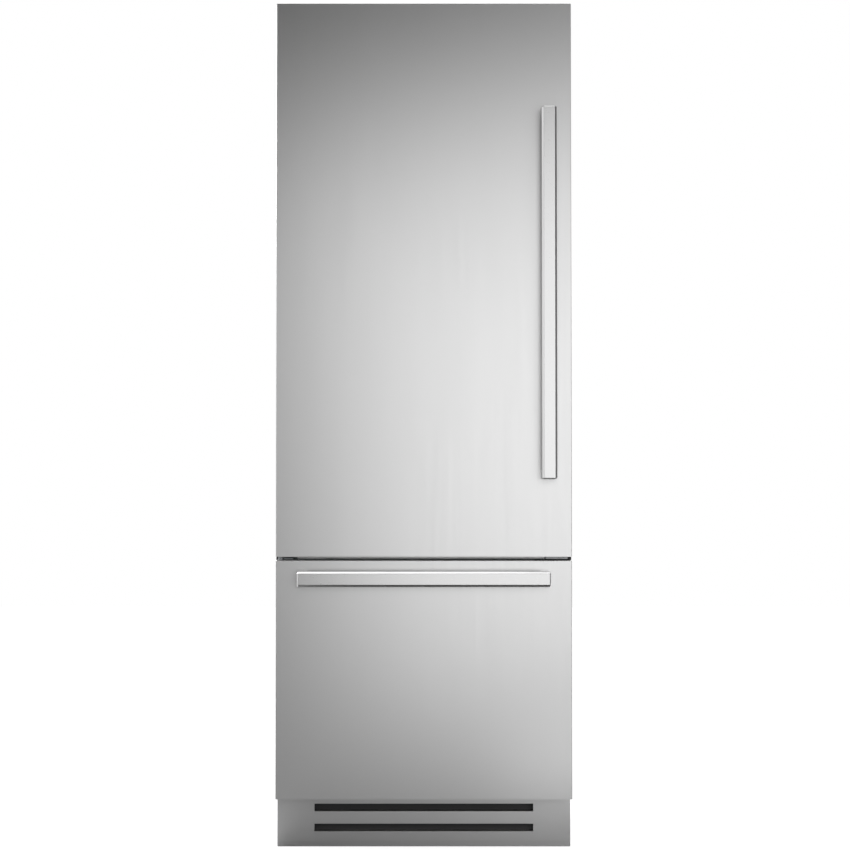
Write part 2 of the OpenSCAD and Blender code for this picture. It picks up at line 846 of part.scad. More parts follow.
module dairy_lid() {
    w = bin_w - tub_t - 1;
    color("lightcyan") {
        span([-w, w], [bin_front - 6, bin_front - 3], [dairy_z0 + 20, lid_pin[1] + 2]);
        span([-w, w], [bin_front - 11, bin_front - 4], [lid_pin[1] - 2, lid_pin[1] + 4]);
        span([-60, 60], [bin_front - 4, bin_front + 6], [dairy_z0 + 20, dairy_z0 + 24]);
        translate([0, lid_pin[0], lid_pin[1]])
            rotate([0, 90, 0])
                cylinder(r = lid_pin_r, h = 2 * bin_w - 0.6, center = true);
    }
}

// Crispers

module crisper(s) {
    x0 = middle_gap / 2;
    x1 = iw - crisper_side;
    x = s > 0 ? [x0, x1] : [-x1, -x0];
    z = [crisper_z0, crisper_z0 + crisper_h];
    color("lightcyan")
        difference() {
            union() {
                tub(x, [shelf_front, back_in - 20], z, 12, tub_t);
                // thick front with a grip lip
                span([x[0], x[1]], [shelf_front - 6, shelf_front + 14], z);
            }
            span([x[0] + 12, x[1] - 12], [shelf_front + tub_t + 2, shelf_front + 16],
                 [z[0] + tub_t, z[1] + eps]);
            // finger recess under the lip
            span([x[0] + 50, x[1] - 50], [shelf_front - 6 - eps, shelf_front - 1], [z[1] - 40, z[1] - 12]);
        }
}

// Hinges

module upper_hinge() {
    plate = [-cw + 4, -cw + 4 + hinge_plate];
    color("dimgrey") {
        span(plate, [cab_y, cab_y + hinge_plate], [casing_top, casing_top + hinge_t]);
        span([pivot[0] - arm_r, pivot[0] + arm_r], [pivot[1], cab_y + eps],
             [casing_top, casing_top + hinge_t]);
        translate([pivot[0], pivot[1], casing_top])
            cylinder(r = arm_r, h = hinge_t);
        translate([pivot[0], pivot[1], pocket[1] - cap_h - 2])
            cylinder(r = pin_r, h = casing_top - pocket[1] + cap_h + 3);
        for (i = [0, 1], j = [0, 1])
            translate([plate[0] + hinge_screw_in[0] + i * hinge_screw_pitch[0],
                       cab_y + hinge_screw_in[1] + j * hinge_screw_pitch[1], casing_top + hinge_t - eps])
                cylinder(r = 5, h = 3 + eps, $fn = 6);
    }
}

hinge_plate_z = drawer_z[1] + 1.5;

module centre_hinge() {
    seat = door_z[0] - fit;
    plate_z = [hinge_plate_z, hinge_plate_z + hinge_t];
    color("silver") {
        span([pivot[0] - arm_r, pivot[0] + arm_r + 22], [pivot[1] + 12, cab_y - 2], plate_z);
        span([pivot[0] - arm_r, pivot[0] + arm_r], [pivot[1], cab_y - 2], plate_z);
        translate([pivot[0], pivot[1], hinge_plate_z])
            cylinder(r = arm_r, h = hinge_t);
        translate([pivot[0], pivot[1], hinge_plate_z + hinge_t - eps])
            cylinder(r = pin_r + 2, h = seat - hinge_plate_z - hinge_t + eps);
        translate([pivot[0], pivot[1], hinge_plate_z])
            cylinder(r = pin_r, h = door_z[0] + cap_h + 2 - hinge_plate_z);
        span([pivot[0] - arm_r, pivot[0] + arm_r + 32], [cab_y - 3, cab_y], [split_z - 15, split_z + 15]);
    }
}

module centre_trim_cap() {
    color("grey")
        difference() {
            span([fw - 66, fw - 10], [front_y + 8, cab_y], [drawer_z[1] + 1.5, door_z[0] - 1.5]);
            // finger notch for lifting it off
            span([fw - 60, fw - 56], [front_y + 7, front_y + 12], [drawer_z[1], door_z[0]]);
        }
}

// Freezer interior

module freezer_rear_cover() {
    z = [freezer_z[0] + fit, freezer_z[1] - fit];
    bars = 11;
    color("whitesmoke")
        difference() {
            block(iw - fit, z, liner_r, [cover_y, cover_y + 3]);
            // fan grille
            for (i = [0 : bars - 1])
                let (h = (i - (bars - 1) / 2) * 8, half = sqrt(max(pow(fan_r - 3, 2) - h * h, 16)))
                    span([-half, half], [cover_y - eps, cover_y + 4], [fan_c[1] + h - 2, fan_c[1] + h + 2]);
            // return air slots near the floor
            for (i = [-8 : 8])
                span([i * 32 - 11, i * 32 + 11], [cover_y - eps, cover_y + 4], [z[0] + 14, z[0] + 22]);
        }
}

module evaporator() {
    color("silver") {
        fin_coil(evap_x, evap_y, evap_z, 22, evap_tube_r);
        // hangers that hook over the rear wall
        for (x = [evap_x[0] + hanger_in, evap_x[1] - hanger_in])
            span([x - 10, x + 10], [evap_y[1] - 1, back_in], [evap_z[0] + 26, evap_z[1] - 20]);
    }
}

module evaporator_fan_motor() {
    y = cover_y + 34;
    color("dimgrey")
        translate([fan_c[0], 0, fan_c[1]]) {
            translate([0, y, 0])
                rotate([-90, 0, 0])
                    cylinder(r = 20, h = 24);
            translate([0, cover_y + 9, 0])
                rotate([-90, 0, 0])
                    cylinder(r = 2, h = y - cover_y - 8);
            // bracket back to the rear wall
            span([-12, 12], [y + 23, back_in], [-12, 12]);
            span([-40, 40], [back_in - 3, back_in], [-20, 20]);
        }
}

module evaporator_fan() {
    color("black")
        translate([fan_c[0], cover_y + 20, fan_c[1]])
            fan_rotor(fan_r - 4, 14, 18, 5, 2);
}

// Channel of a slide, open towards the middle of the cabinet: x is its open and closed side
module slide_channel(x, h, t) {
    span([x[1] - t, x[1]], [slide_front, slide_front + slide_l], [slide_z - h / 2, slide_z + h / 2]);
    for (s = [-1, 1])
        span(x, [slide_front, slide_front + slide_l],
             s > 0 ? [slide_z + h / 2 - t, slide_z + h / 2] : [slide_z - h / 2, slide_z - h / 2 + t]);
}

module both_sides() {
    for (s = [0, 1])
        mirror([s, 0, 0])
            children();
}

module slide_cabinet_members() {
    color("silver")
        both_sides()
            slide_channel([iw - 12, iw], slide_h, slide_m);
}

module slide_middle_members() {
    color("gainsboro")
        both_sides()
            slide_channel([iw - 14, iw - slide_m - slide_gap], slide_h - 2 * (slide_m + slide_gap), slide_m);
}

module slide_drawer_members() {
    half = slide_h / 2 - 2 * (slide_m + slide_gap);
    top = basket_z0 + basket_h - lip_t - fit;
    low = slide_z - slide_h / 2 - 8;
    y = [slide_front, slide_front + slide_l];
    color("silver")
        both_sides() {
            // inner member, open towards the wall
            span([arm_x, arm_x + slide_m], y, [slide_z - half, slide_z + half]);
            for (z = [slide_z - half, slide_z + half - slide_m])
                span([arm_x, iw - 2 * (slide_m + slide_gap)], y, [z, z + slide_m]);
            // arm that carries the basket, with its foot on the drawer front
            span([arm_x - arm_t, arm_x], [front_back, y[1]], [low, top]);
            span([arm_x - arm_t, iw], [front_back, front_back + arm_t], [low, top]);
        }
}

module freezer_basket() {
    z = [basket_z0, basket_z0 + basket_h];
    y = [rim_y + 6, slide_front + slide_l - 4];
    slots = 9;
    color("lightcyan")
        difference() {
            union() {
                tub([-basket_w, basket_w], y, z, 18, tub_t);
                // rim that rests on the arms
                difference() {
                    span([-arm_x, arm_x], [y[0] + 20, y[1] - 20], [z[1] - lip_t, z[1]]);
                    span([-basket_w + tub_t, basket_w - tub_t], y, [z[1] - lip_t - eps, z[1] + eps]);
                }
            }
            for (i = [0 : slots - 1], s = [-1, 1])
                span(let (px = (i - (slots - 1) / 2) * 54) [px - 18, px + 18],
                     s > 0 ? [y[1] - tub_t - eps, y[1] + eps] : [y[0] - eps, y[0] + tub_t + eps],
                     [z[0] + basket_h * 0.42, z[0] + basket_h * 0.42 + 7]);
        }
}

module freezer_tray() {
    z = [tray_z0, tray_z0 + tray_h];
    color("lightcyan") {
        tub([-tray_w, tray_w], [tray_front, tray_back], z, 16, tub_t);
        difference() {
            span([-tray_lip, tray_lip], [tray_front + 18, tray_back - 18], [z[1] - lip_t, z[1]]);
            span([-tray_w + tub_t, tray_w - tub_t], [tray_front, tray_back],
                 [z[1] - lip_t - eps, z[1] + eps]);
        }
        // divider
        span([-1.2, 1.2], [tray_front + tub_t - 0.5, tray_back - tub_t + 0.5],
             [z[0] + tub_t - 0.5, z[1] - 16]);
    }
}

// Base and machine bay

module base_frame() {
    x = cw - sheet_t;
    y = [cab_y, panel_in];
    pan = [base_up, base_up + base_t];
    color("darkgrey")
        difference() {
            union() {
                span([-x, x], y, pan);
                both_sides()
                    span([x - base_t, x], y, [base_up, bay_top]);
                // front cross member above the toe panel
                span([-x, x], [cab_y + 2, cab_y + 2 + base_t], [toe_h + 4, bay_top]);
                both_sides() {
                    // bosses for the levelling feet
                    translate([foot_x, foot_y, base_up])
                        cylinder(r = 12, h = 14);
                    // roller forks and axles
                    for (s = [-1, 1])
                        translate([roller_x + s * (roller_w / 2 + 3), 0, 0])
                            span([-fork_t / 2, fork_t / 2], [roller_y - 14, roller_y + 14],
                                 [roller_r - 10, base_up + base_t + 8]);
                    translate([roller_x, roller_y, roller_r])
                        rotate([0, 90, 0])
                            cylinder(r = axle_r, h = roller_w + 12, center = true);
                }
            }
            both_sides() {
                translate([foot_x, foot_y, base_up - eps])
                    cylinder(r = foot_stem_r + run_fit, h = 14 + 2 * eps);
                span([roller_x - roller_w / 2 - 1.6, roller_x + roller_w / 2 + 1.6],
                     [roller_y - roller_r - 3, roller_y + roller_r + 3], [base_up - eps, base_up + base_t + eps]);
            }
        }
}

module levelling_foot() {
    color("dimgrey") {
        cylinder(r1 = foot_r, r2 = foot_r - 3, h = 9);
        translate([0, 0, 8])
            cylinder(r = foot_stem_r, h = base_up + 14 + 10 - 8);
        translate([0, 0, base_up - 10 - fit])
            cylinder(r = 9, h = 10, $fn = 6);
    }
}

module foot_left() {
    translate([-foot_x, foot_y, 0]) levelling_foot();
}

module foot_right() {
    translate([foot_x, foot_y, 0]) levelling_foot();
}

module roller(s) {
    color("black")
        translate([s * roller_x, roller_y, roller_r])
            rotate([0, 90, 0])
                difference() {
                    cylinder(r = roller_r, h = roller_w, center = true);
                    cylinder(r = axle_r + run_fit, h = roller_w + 2 * eps, center = true);
                }
}

module toe_grille() {
    z = [toe_up, toe_h - 2];
    sheet = toe_sheet;
    lip_d = 14;
    top_w = cw - sheet_t - base_t - fit;
    color("darkgrey") {
        difference() {
            span([-toe_w, toe_w], [toe_y, toe_y + sheet], z);
            for (i = [0, 1])
                span([-slot_half_l, slot_half_l], [toe_y - eps, toe_y + sheet + eps],
                     slot_z(i));
        }
        // side and top returns
        for (x = [-toe_w, toe_w - sheet])
            span([x, x + sheet], [toe_y, toe_y + return_d], z);
        span([-top_w, top_w], [toe_y, toe_y + return_d], [z[1] - sheet, z[1]]);
        // lips folded in along both edges of each slot
        for (i = [0, 1], h = [slot_z(i)[0] - sheet, slot_z(i)[1]])
            span([-slot_half_l, slot_half_l], [toe_y, toe_y + lip_d], [h, h + sheet]);
    }
}

module compressor() {
    z0 = base_up + base_t;
    color("dimgrey")
        translate([comp_c[0], comp_c[1], 0]) {
            translate([0, 0, z0 + 14])
                cylinder(r = comp_r, h = comp_h * 0.55);
            // domed top
            intersection() {
                translate([0, 0, z0 + 14])
                    cylinder(r = comp_r - 3, h = comp_h);
                translate([0, 0, z0 + comp_h - dome_r])
                    sphere(dome_r);
            }
            // mounting plate on four rubber feet
            span([-comp_r - 12, comp_r + 12], [-50, 50], [z0 + 10, z0 + 14 + eps]);
            for (sx = [-1, 1], sy = [-1, 1])
                translate([sx * (comp_r + 2), sy * 38, z0])
                    cylinder(r = 9, h = 12);
            // terminal box
            span([comp_r - 14, comp_r + 24], [-30, 30], [z0 + 40, z0 + 96]);
            // pipe stubs
            for (p = [discharge, suction])
                translate([-comp_r - stub_l, p[0], z0 + p[1]])
                    rotate([0, 90, 0])
                        cylinder(r = stub_r, h = comp_r);
        }
}

module condenser() {
    color("darkgrey") {
        fin_coil(cond_x, cond_y, cond_z, 15, cond_tube_r);
        // foot rail
        span(cond_x, [cond_y[0] + 10, cond_y[1] - 10], [base_up + base_t, cond_z[0] + 1]);
    }
}

module condenser_fan_housing() {
    y = bay_fan[1];
    half_d = housing_d / 2;
    s = bay_fan_r + housing_rim;
    color("black") {
        difference() {
            span([bay_fan[0] - s, bay_fan[0] + s], [y - half_d, y + half_d],
                 [base_up + base_t, bay_fan[2] + s]);
            translate([bay_fan[0], y, bay_fan[2]])
                rotate([90, 0, 0])
                    cylinder(r = bay_fan_r + 3, h = housing_d + 2 * eps, center = true);
        }
        // motor on a cross strut
        translate([bay_fan[0], y + half_d + 4, bay_fan[2]])
            rotate([-90, 0, 0])
                cylinder(r = bay_motor_r, h = bay_motor_l);
        translate([bay_fan[0], y - 8, bay_fan[2]])
            rotate([-90, 0, 0])
                cylinder(r = bay_shaft_r, h = half_d + 16);
        span([bay_fan[0] - s, bay_fan[0] + s], [y + half_d - 0.5, y + half_d + 8],
             [bay_fan[2] - 6, bay_fan[2] + 6]);
    }
}

module condenser_fan() {
    color("dimgrey")
        translate([bay_fan[0], bay_fan[1] - 1, bay_fan[2]])
            fan_rotor(bay_fan_r, 18, 22, 6, bay_shaft_r);
}

module drip_tray() {
    color("whitesmoke")
        tub([-cw + drip_in, -cw + drip_in + drip_w], [rear_y - drip_rear - drip_d, rear_y - drip_rear],
            [base_up + base_t + fit, base_up + base_t + drip_h], 16, tub_t);
}

module control_board_box() {
    x = [inlet[0] - board_w / 2, inlet[0] + board_w / 2];
    y = [panel_in - fit - board_d, panel_in - fit];
    z = [base_up + base_t, base_up + base_t + board_h];
    color("whitesmoke")
        difference() {
            union() {
                span(x, y, z);
                // mains inlet that stands in the rear panel's opening
                span([inlet[0] - 15, inlet[0] + 15], [y[1] - eps, panel_rear], [inlet[1] - 12, inlet[1] + 12]);
            }
            // socket with three contact pins
            difference() {
                span([inlet[0] - 12, inlet[0] + 12], [panel_rear - 18, panel_rear + eps],
                     [inlet[1] - 9, inlet[1] + 9]);
                for (p = [[-7, -2], [0, 3], [7, -2]])
                    span([inlet[0] + p[0] - 1, inlet[0] + p[0] + 1], [panel_rear - 19, panel_rear - 4],
                         [inlet[1] + p[1] - 2.5, inlet[1] + p[1] + 2.5]);
            }
        }
}

module refrigerant_pipes() {
    z0 = base_up + base_t;
    c = comp_c;
    stub_x = c[0] - comp_r - stub_l;
    coil_x = cond_x[1] + coil_end;
    coil_y = (cond_y[0] + cond_y[1]) / 2;
    hot_x = stub_x - 25;
    hot_y = c[1] + discharge[0];
    hot_z = tube_z(cond_z, passes - 1);
    cold_x = coil_x + 20;
    cold_z = tube_z(cond_z, 0);
    cold_y = bay_fan[1] + 80;
    evap_end = evap_x[1] + coil_end;
    evap_mid = (evap_y[0] + evap_y[1]) / 2;
    color("peru") {
        // discharge line to the condenser's upper tube
        pipe([[stub_x, hot_y, z0 + discharge[1]], [hot_x, hot_y, z0 + discharge[1]],
              [hot_x, hot_y, hot_z], [hot_x, coil_y, hot_z], [coil_x, coil_y, hot_z]], 3);
        // liquid line from the lower tube, through the filter drier and up to the deck
        pipe([[coil_x, coil_y, cold_z], [cold_x, coil_y, cold_z], [cold_x, cold_y, cold_z],
              [cold_x, cold_y, bay_top]], 2.5);
        translate([cold_x, cold_y - 70, cold_z])
            rotate([-90, 0, 0])
                cylinder(r = 9, h = 44);
        // suction line down from the deck
        pipe([[stub_x, c[1] + suction[0], z0 + suction[1]], [stub_x - 16, c[1] + suction[0], z0 + suction[1]],
              [stub_x - 16, rear_y - 30, z0 + suction[1]], [stub_x - 16, rear_y - 30, bay_top]], 4.5);
        // evaporator's two ends into the rear wall
        for (i = [0, passes - 1])
            pipe([[evap_end, evap_mid, tube_z(evap_z, i)], [evap_end + 16, evap_mid, tube_z(evap_z, i)],
                  [evap_end + 16, back_in, tube_z(evap_z, i)]], 3.5);
    }
}

module anti_tip_bracket() {
    x = [-bracket_w / 2, bracket_w / 2];
    color("silver")
        difference() {
            union() {
                span(x, [rear_y - bracket_d, rear_y], [casing_top, casing_top + bracket_t]);
                span(x, [rear_y - bracket_t, rear_y], [casing_top, casing_top + bracket_h]);
            }
            for (side = [-1, 1])
                translate([side * bracket_pitch / 2, rear_y + eps, casing_top + bracket_hole_up])
                    rotate([90, 0, 0])
                        cylinder(r = wall_hole_r, h = bracket_t + 2 * eps);
        }
}

outer_casing();
rear_panel();
front_frame();
machine_bay_deck();
base_frame();
fridge_insulation();
freezer_insulation();
fridge_liner();
freezer_liner();
shelf_frames();
shelf_glass();
crisper_cover();
air_duct();
side_lights();
control_panel();
upper_hinge();
centre_hinge();
centre_trim_cap();
freezer_rear_cover();
evaporator();
evaporator_fan_motor();
evaporator_fan();
slide_cabinet_members();
slide_middle_members();
slide_drawer_members();
freezer_basket();
freezer_tray();
compressor();
condenser();
condenser_fan_housing();
condenser_fan();
drip_tray();
control_board_box();
refrigerant_pipes();
toe_grille();
anti_tip_bracket();
foot_left();
foot_right();
roller(-1);  // roller_left
roller(1);  // roller_right
door_skin();
door_insulation();
door_liner();
door_gasket();
door_end_caps();
door_handle();
dairy_box();
dairy_lid();
crisper(-1);  // crisper_left
crisper(1);  // crisper_right
drawer_skin();
drawer_insulation();
drawer_liner();
drawer_gasket();
drawer_end_caps();
drawer_handle();
for (i = [1 : bin_count])
    door_bin(i);
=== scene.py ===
"""A tall built-in refrigerator: its finishes, folded skins, seals, trims and small parts."""
import json
import math

import bmesh
import bpy
from mathutils import Matrix, Vector


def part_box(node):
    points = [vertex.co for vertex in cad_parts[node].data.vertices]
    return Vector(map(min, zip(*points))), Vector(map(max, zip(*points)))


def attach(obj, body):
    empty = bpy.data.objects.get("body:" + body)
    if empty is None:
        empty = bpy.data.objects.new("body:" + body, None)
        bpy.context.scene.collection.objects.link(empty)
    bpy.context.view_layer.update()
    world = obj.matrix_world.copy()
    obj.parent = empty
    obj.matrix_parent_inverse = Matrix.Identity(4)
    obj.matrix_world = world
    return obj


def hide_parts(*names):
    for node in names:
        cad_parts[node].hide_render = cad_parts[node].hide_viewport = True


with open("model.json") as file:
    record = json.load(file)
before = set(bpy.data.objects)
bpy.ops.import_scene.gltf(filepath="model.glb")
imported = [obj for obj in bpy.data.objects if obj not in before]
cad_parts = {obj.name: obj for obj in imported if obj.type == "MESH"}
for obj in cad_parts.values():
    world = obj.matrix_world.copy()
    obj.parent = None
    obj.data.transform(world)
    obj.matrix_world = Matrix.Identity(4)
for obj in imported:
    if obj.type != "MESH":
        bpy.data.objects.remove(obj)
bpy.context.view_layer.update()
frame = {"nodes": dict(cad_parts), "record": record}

nodes = frame["nodes"]
body_of = {n: body for body, members in frame["record"]["behaviour"]["bodies"].items() for n in members}
slot_of = {row["node"]: row["material_slot"] for row in frame["record"]["subparts"]}
box_of = {n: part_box(n) for n in nodes}

MM = 0.001
MERGE = 0.002 * MM              # corners closer than this are one corner
FLAT = math.radians(0.4)        # faces that meet at less than this are one flat face
SHARP = math.radians(28)        # edges sharper than this get a small radius
SEAM = math.radians(42)         # edges sharper than this stay crisp in the shading
BEAD_SEAM = math.radians(60)    # the same for pressed beads
HOOD_SEAM = math.radians(70)    # the same for louvre hoods
SIDES = ((-1, "left"), (1, "right"))

SHEET = 1.0 * MM                # thickness of the folded sheet steel
HEM = 10 * MM                   # width of the hems that the skins' sides have at the back
POCKET_FRONT = 3 * MM           # depth of skin left in front of the hinge pocket
POCKET_DROP = 3 * MM            # from the casing's top down to the hinge pocket's floor
LINER = 2.5 * MM                # from the liners' outer faces to their inner ones
FORMED = 1.6 * MM               # thickness of the compartments' formed sheet
HOOD_SHEET = 0.6 * MM           # thickness of the rear louvre hoods
SKIN_BEND = 1.8 * MM            # radius of the folds in the fronts' skins
CASING_BEND = 2.2 * MM          # radius of the folds in the casing
FLOAT_GAP = 0.02 * MM           # lift of trims off the face that they lie on


# Measures taken from the frame

fridge, freezer = box_of["fridge_liner"], box_of["freezer_liner"]
half_inner = fridge[1].x - LINER
fridge_z = (fridge[0].z + LINER, fridge[1].z - LINER)
freezer_z = (freezer[0].z + LINER, freezer[1].z - LINER)
casing_low, casing_high = box_of["outer_casing"]
panel_low, panel_high = box_of["rear_panel"]
front_y = box_of["door_skin"][0].y

# Raised rims of the inner liners: how far they stay off the compartments' walls,
# above and below and at the sides, and then half width and heights of each
RIM_LIFT, DOOR_GAP, DRAWER_GAP = 14 * MM, 13 * MM, 30 * MM
RIM = {"door_liner": (half_inner - DOOR_GAP, (fridge_z[0] + RIM_LIFT, fridge_z[1] - RIM_LIFT)),
       "drawer_liner": (half_inner - DRAWER_GAP, (freezer_z[0] + RIM_LIFT, freezer_z[1] - RIM_LIFT))}

# Hinge pocket in the upper left corner of the door
pocket_floor = casing_high.z - POCKET_DROP
liner_notch = (box_of["door_skin"][0].x + 33 * MM, pocket_floor - 14 * MM)

# Shelves: three above the crisper cover, one step apart
SHELVES, SHELF_H = 3, 16 * MM
shelf_front, cover_z = box_of["crisper_cover"][0].y, box_of["crisper_cover"][0].z
shelf_half, shelf_back = box_of["crisper_cover"][1].x, box_of["crisper_cover"][1].y
shelf_step = (box_of["shelf_frames"][1].z - SHELF_H - cover_z) / SHELVES

# Air slots of the toe panel: half their length, their height and the lower edge of each
SLOT_HALF, SLOT_H, SLOT_LOW = 277 * MM, 19 * MM, (39 * MM, 89.5 * MM)


# Shader helpers

MIX_SOCKETS = {"RGBA": (6, 7, 2), "FLOAT": (2, 3, 0)}    # a Mix node's two inputs and its output, by kind
UNLINKED = (0.5, 0.5, 0.5, 1)                            # colour that an effect shows until it is linked
RELIEF = 0.2 * MM                                        # height of the finest bumps at full strength


def add(tree, kind, inputs=None, **settings):
    """A node of this kind. A socket given as an input is linked, and anything else is its value."""
    node = tree.nodes.new(kind)
    for name, value in settings.items():
        setattr(node, name, value)
    for name, value in (inputs or {}).items():
        if isinstance(value, bpy.types.NodeSocket):
            tree.links.new(value, node.inputs[name])
        else:
            node.inputs[name].default_value = value
    return node


def computed(tree, operation, *values):
    """Result of one arithmetic step on numbers or sockets."""
    return add(tree, "ShaderNodeMath", dict(enumerate(values)), operation=operation).outputs[0]


def varied(tree, pattern, middle, spread, base):
    """Leaves its base as far as the pattern leaves its middle, times the spread."""
    off = computed(tree, "SUBTRACT", pattern, middle)
    return computed(tree, "MULTIPLY_ADD", off, spread, base)


def ramp(tree, value, start, end, low=0.0, high=1.0, kind="LINEAR"):
    """Runs from low to high while the value runs from start to end."""
    inputs = {"Value": value, "From Min": start, "From Max": end, "To Min": low, "To Max": high}
    return add(tree, "ShaderNodeMapRange", inputs, interpolation_type=kind).outputs[0]


def noise(tree, place, scale, detail, roughness=0.5):
    """Soft random pattern round one half."""
    inputs = {"Vector": place, "Scale": scale, "Detail": detail, "Roughness": roughness}
    return add(tree, "ShaderNodeTexNoise", inputs).outputs["Fac"]


def mixed(tree, factor, a, b, kind):
    """Blend of two colours or two numbers."""
    first, second, result = MIX_SOCKETS[kind]
    return add(tree, "ShaderNodeMix", {0: factor, first: a, second: b}, data_type=kind).outputs[result]


def shared_group(name, results, **values):
    """A shader group that takes a place and named values; returns it, what it takes and what it gives."""
    tree = bpy.data.node_groups.new(name, "ShaderNodeTree")
    tree.interface.new_socket("Place", in_out="INPUT", socket_type="NodeSocketVector")
    for title, value in values.items():
        kind = "NodeSocketColor" if title == "Colour" else "NodeSocketFloat"
        tree.interface.new_socket(title, in_out="INPUT", socket_type=kind).default_value = value
    for title in results:
        kind = "NodeSocketColor" if title == "Colour" else "NodeSocketFloat"
        tree.interface.new_socket(title, in_out="OUTPUT", socket_type=kind)
    return tree, tree.nodes.new("NodeGroupInput").outputs, tree.nodes.new("NodeGroupOutput").inputs


def give(tree, gives, **results):
    """Links a group's results to its outputs and returns the group."""
    for title, socket in results.items():
        tree.links.new(socket, gives[title])
    return tree


def tone_group():
    """Slow change of a colour's lightness over a surface, as paint, moulding and metal have."""
    tree, takes, gives = shared_group("slow tone", ["Colour"], Colour=UNLINKED, Size=4.0, Amount=0.04)
    pattern = noise(tree, takes["Place"], takes["Size"], 3.0, 0.55)
    light = varied(tree, pattern, 0.5, takes["Amount"], 1.0)
    shade = add(tree, "ShaderNodeHueSaturation", {"Value": light, "Color": takes["Colour"]})
    return give(tree, gives, Colour=shade.outputs["Color"])


def grain_group():
    """Fine lines of brushed metal: the place is already stretched along the brushing."""
    broad_share = 0.11    # broad lines for each fine one
    tree, takes, gives = shared_group("brushed grain", ["Roughness", "Height"], Lines=1400.0, Roughness=0.4,
                                      Spread=0.1)
    fine = noise(tree, takes["Place"], takes["Lines"], 2.0, 0.6)
    broad = noise(tree, takes["Place"], computed(tree, "MULTIPLY", takes["Lines"], broad_share), 1.0)
    both = computed(tree, "ADD", fine, broad)
    rough = varied(tree, both, 1.0, takes["Spread"], takes["Roughness"])
    return give(tree, gives, Roughness=rough, Height=fine)


def pitted_group():
    """Tiny rounded pits of moulded plastic, paint and foam, with a little change in gloss."""
    tree, takes, gives = shared_group("fine pits", ["Roughness", "Height"], Pits=900.0, Roughness=0.4,
                                      Spread=0.08)
    pits = add(tree, "ShaderNodeTexVoronoi", {"Vector": takes["Place"], "Scale": takes["Pits"]},
               feature="SMOOTH_F1")
    gloss = noise(tree, takes["Place"], 14.0, 4.0)
    rough = varied(tree, gloss, 0.5, takes["Spread"], takes["Roughness"])
    return give(tree, gives, Roughness=rough, Height=pits.outputs["Distance"])


def dust_group():
    """Thin dust that settles on faces which look up, broken up by a soft pattern."""
    dust_colour, dust_roughness = (0.45, 0.43, 0.4, 1), 0.95
    facing_up, bare_to_full, patches = (0.55, 0.98), (0.3, 0.75), 22.0
    tree, takes, gives = shared_group("settled dust", ["Colour", "Roughness"], Colour=UNLINKED, Roughness=0.5,
                                      Amount=0.25)
    normal = add(tree, "ShaderNodeNewGeometry").outputs["Normal"]
    up = add(tree, "ShaderNodeSeparateXYZ", {"Vector": normal}).outputs["Z"]
    lying = ramp(tree, up, *facing_up)
    patchy = ramp(tree, noise(tree, takes["Place"], patches, 6.0), *bare_to_full)
    mask = computed(tree, "MULTIPLY", lying, patchy)
    cover = computed(tree, "MULTIPLY", mask, takes["Amount"])
    colour = mixed(tree, cover, takes["Colour"], dust_colour, "RGBA")
    rough = mixed(tree, cover, takes["Roughness"], dust_roughness, "FLOAT")
    return give(tree, gives, Colour=colour, Roughness=rough)


def spangle_group():
    """Crystal flakes of hot-dip zinc: each has its own lightness and gloss."""
    contrast = 0.16
    tree, takes, gives = shared_group("zinc spangle", ["Colour", "Roughness"], Colour=UNLINKED, Flakes=90.0,
                                      Roughness=0.4, Spread=0.12)
    flakes = add(tree, "ShaderNodeTexVoronoi", {"Vector": takes["Place"], "Scale": takes["Flakes"]})
    flake = add(tree, "ShaderNodeSeparateColor", {"Color": flakes.outputs["Color"]}).outputs["Red"]
    light = varied(tree, flake, 0.5, contrast, 1.0)
    shade = add(tree, "ShaderNodeHueSaturation", {"Value": light, "Color": takes["Colour"]})
    rough = varied(tree, flake, 0.5, takes["Spread"], takes["Roughness"])
    return give(tree, gives, Colour=shade.outputs["Color"], Roughness=rough)


TONE, GRAIN, PITTED = tone_group(), grain_group(), pitted_group()
DUST, SPANGLE = dust_group(), spangle_group()
finishes = {}


def node_material(name):
    """A material with an empty tree of nodes; returns both."""
    material = bpy.data.materials.new(name)
    material.use_nodes = True
    material.node_tree.nodes.clear()
    return material, material.node_tree


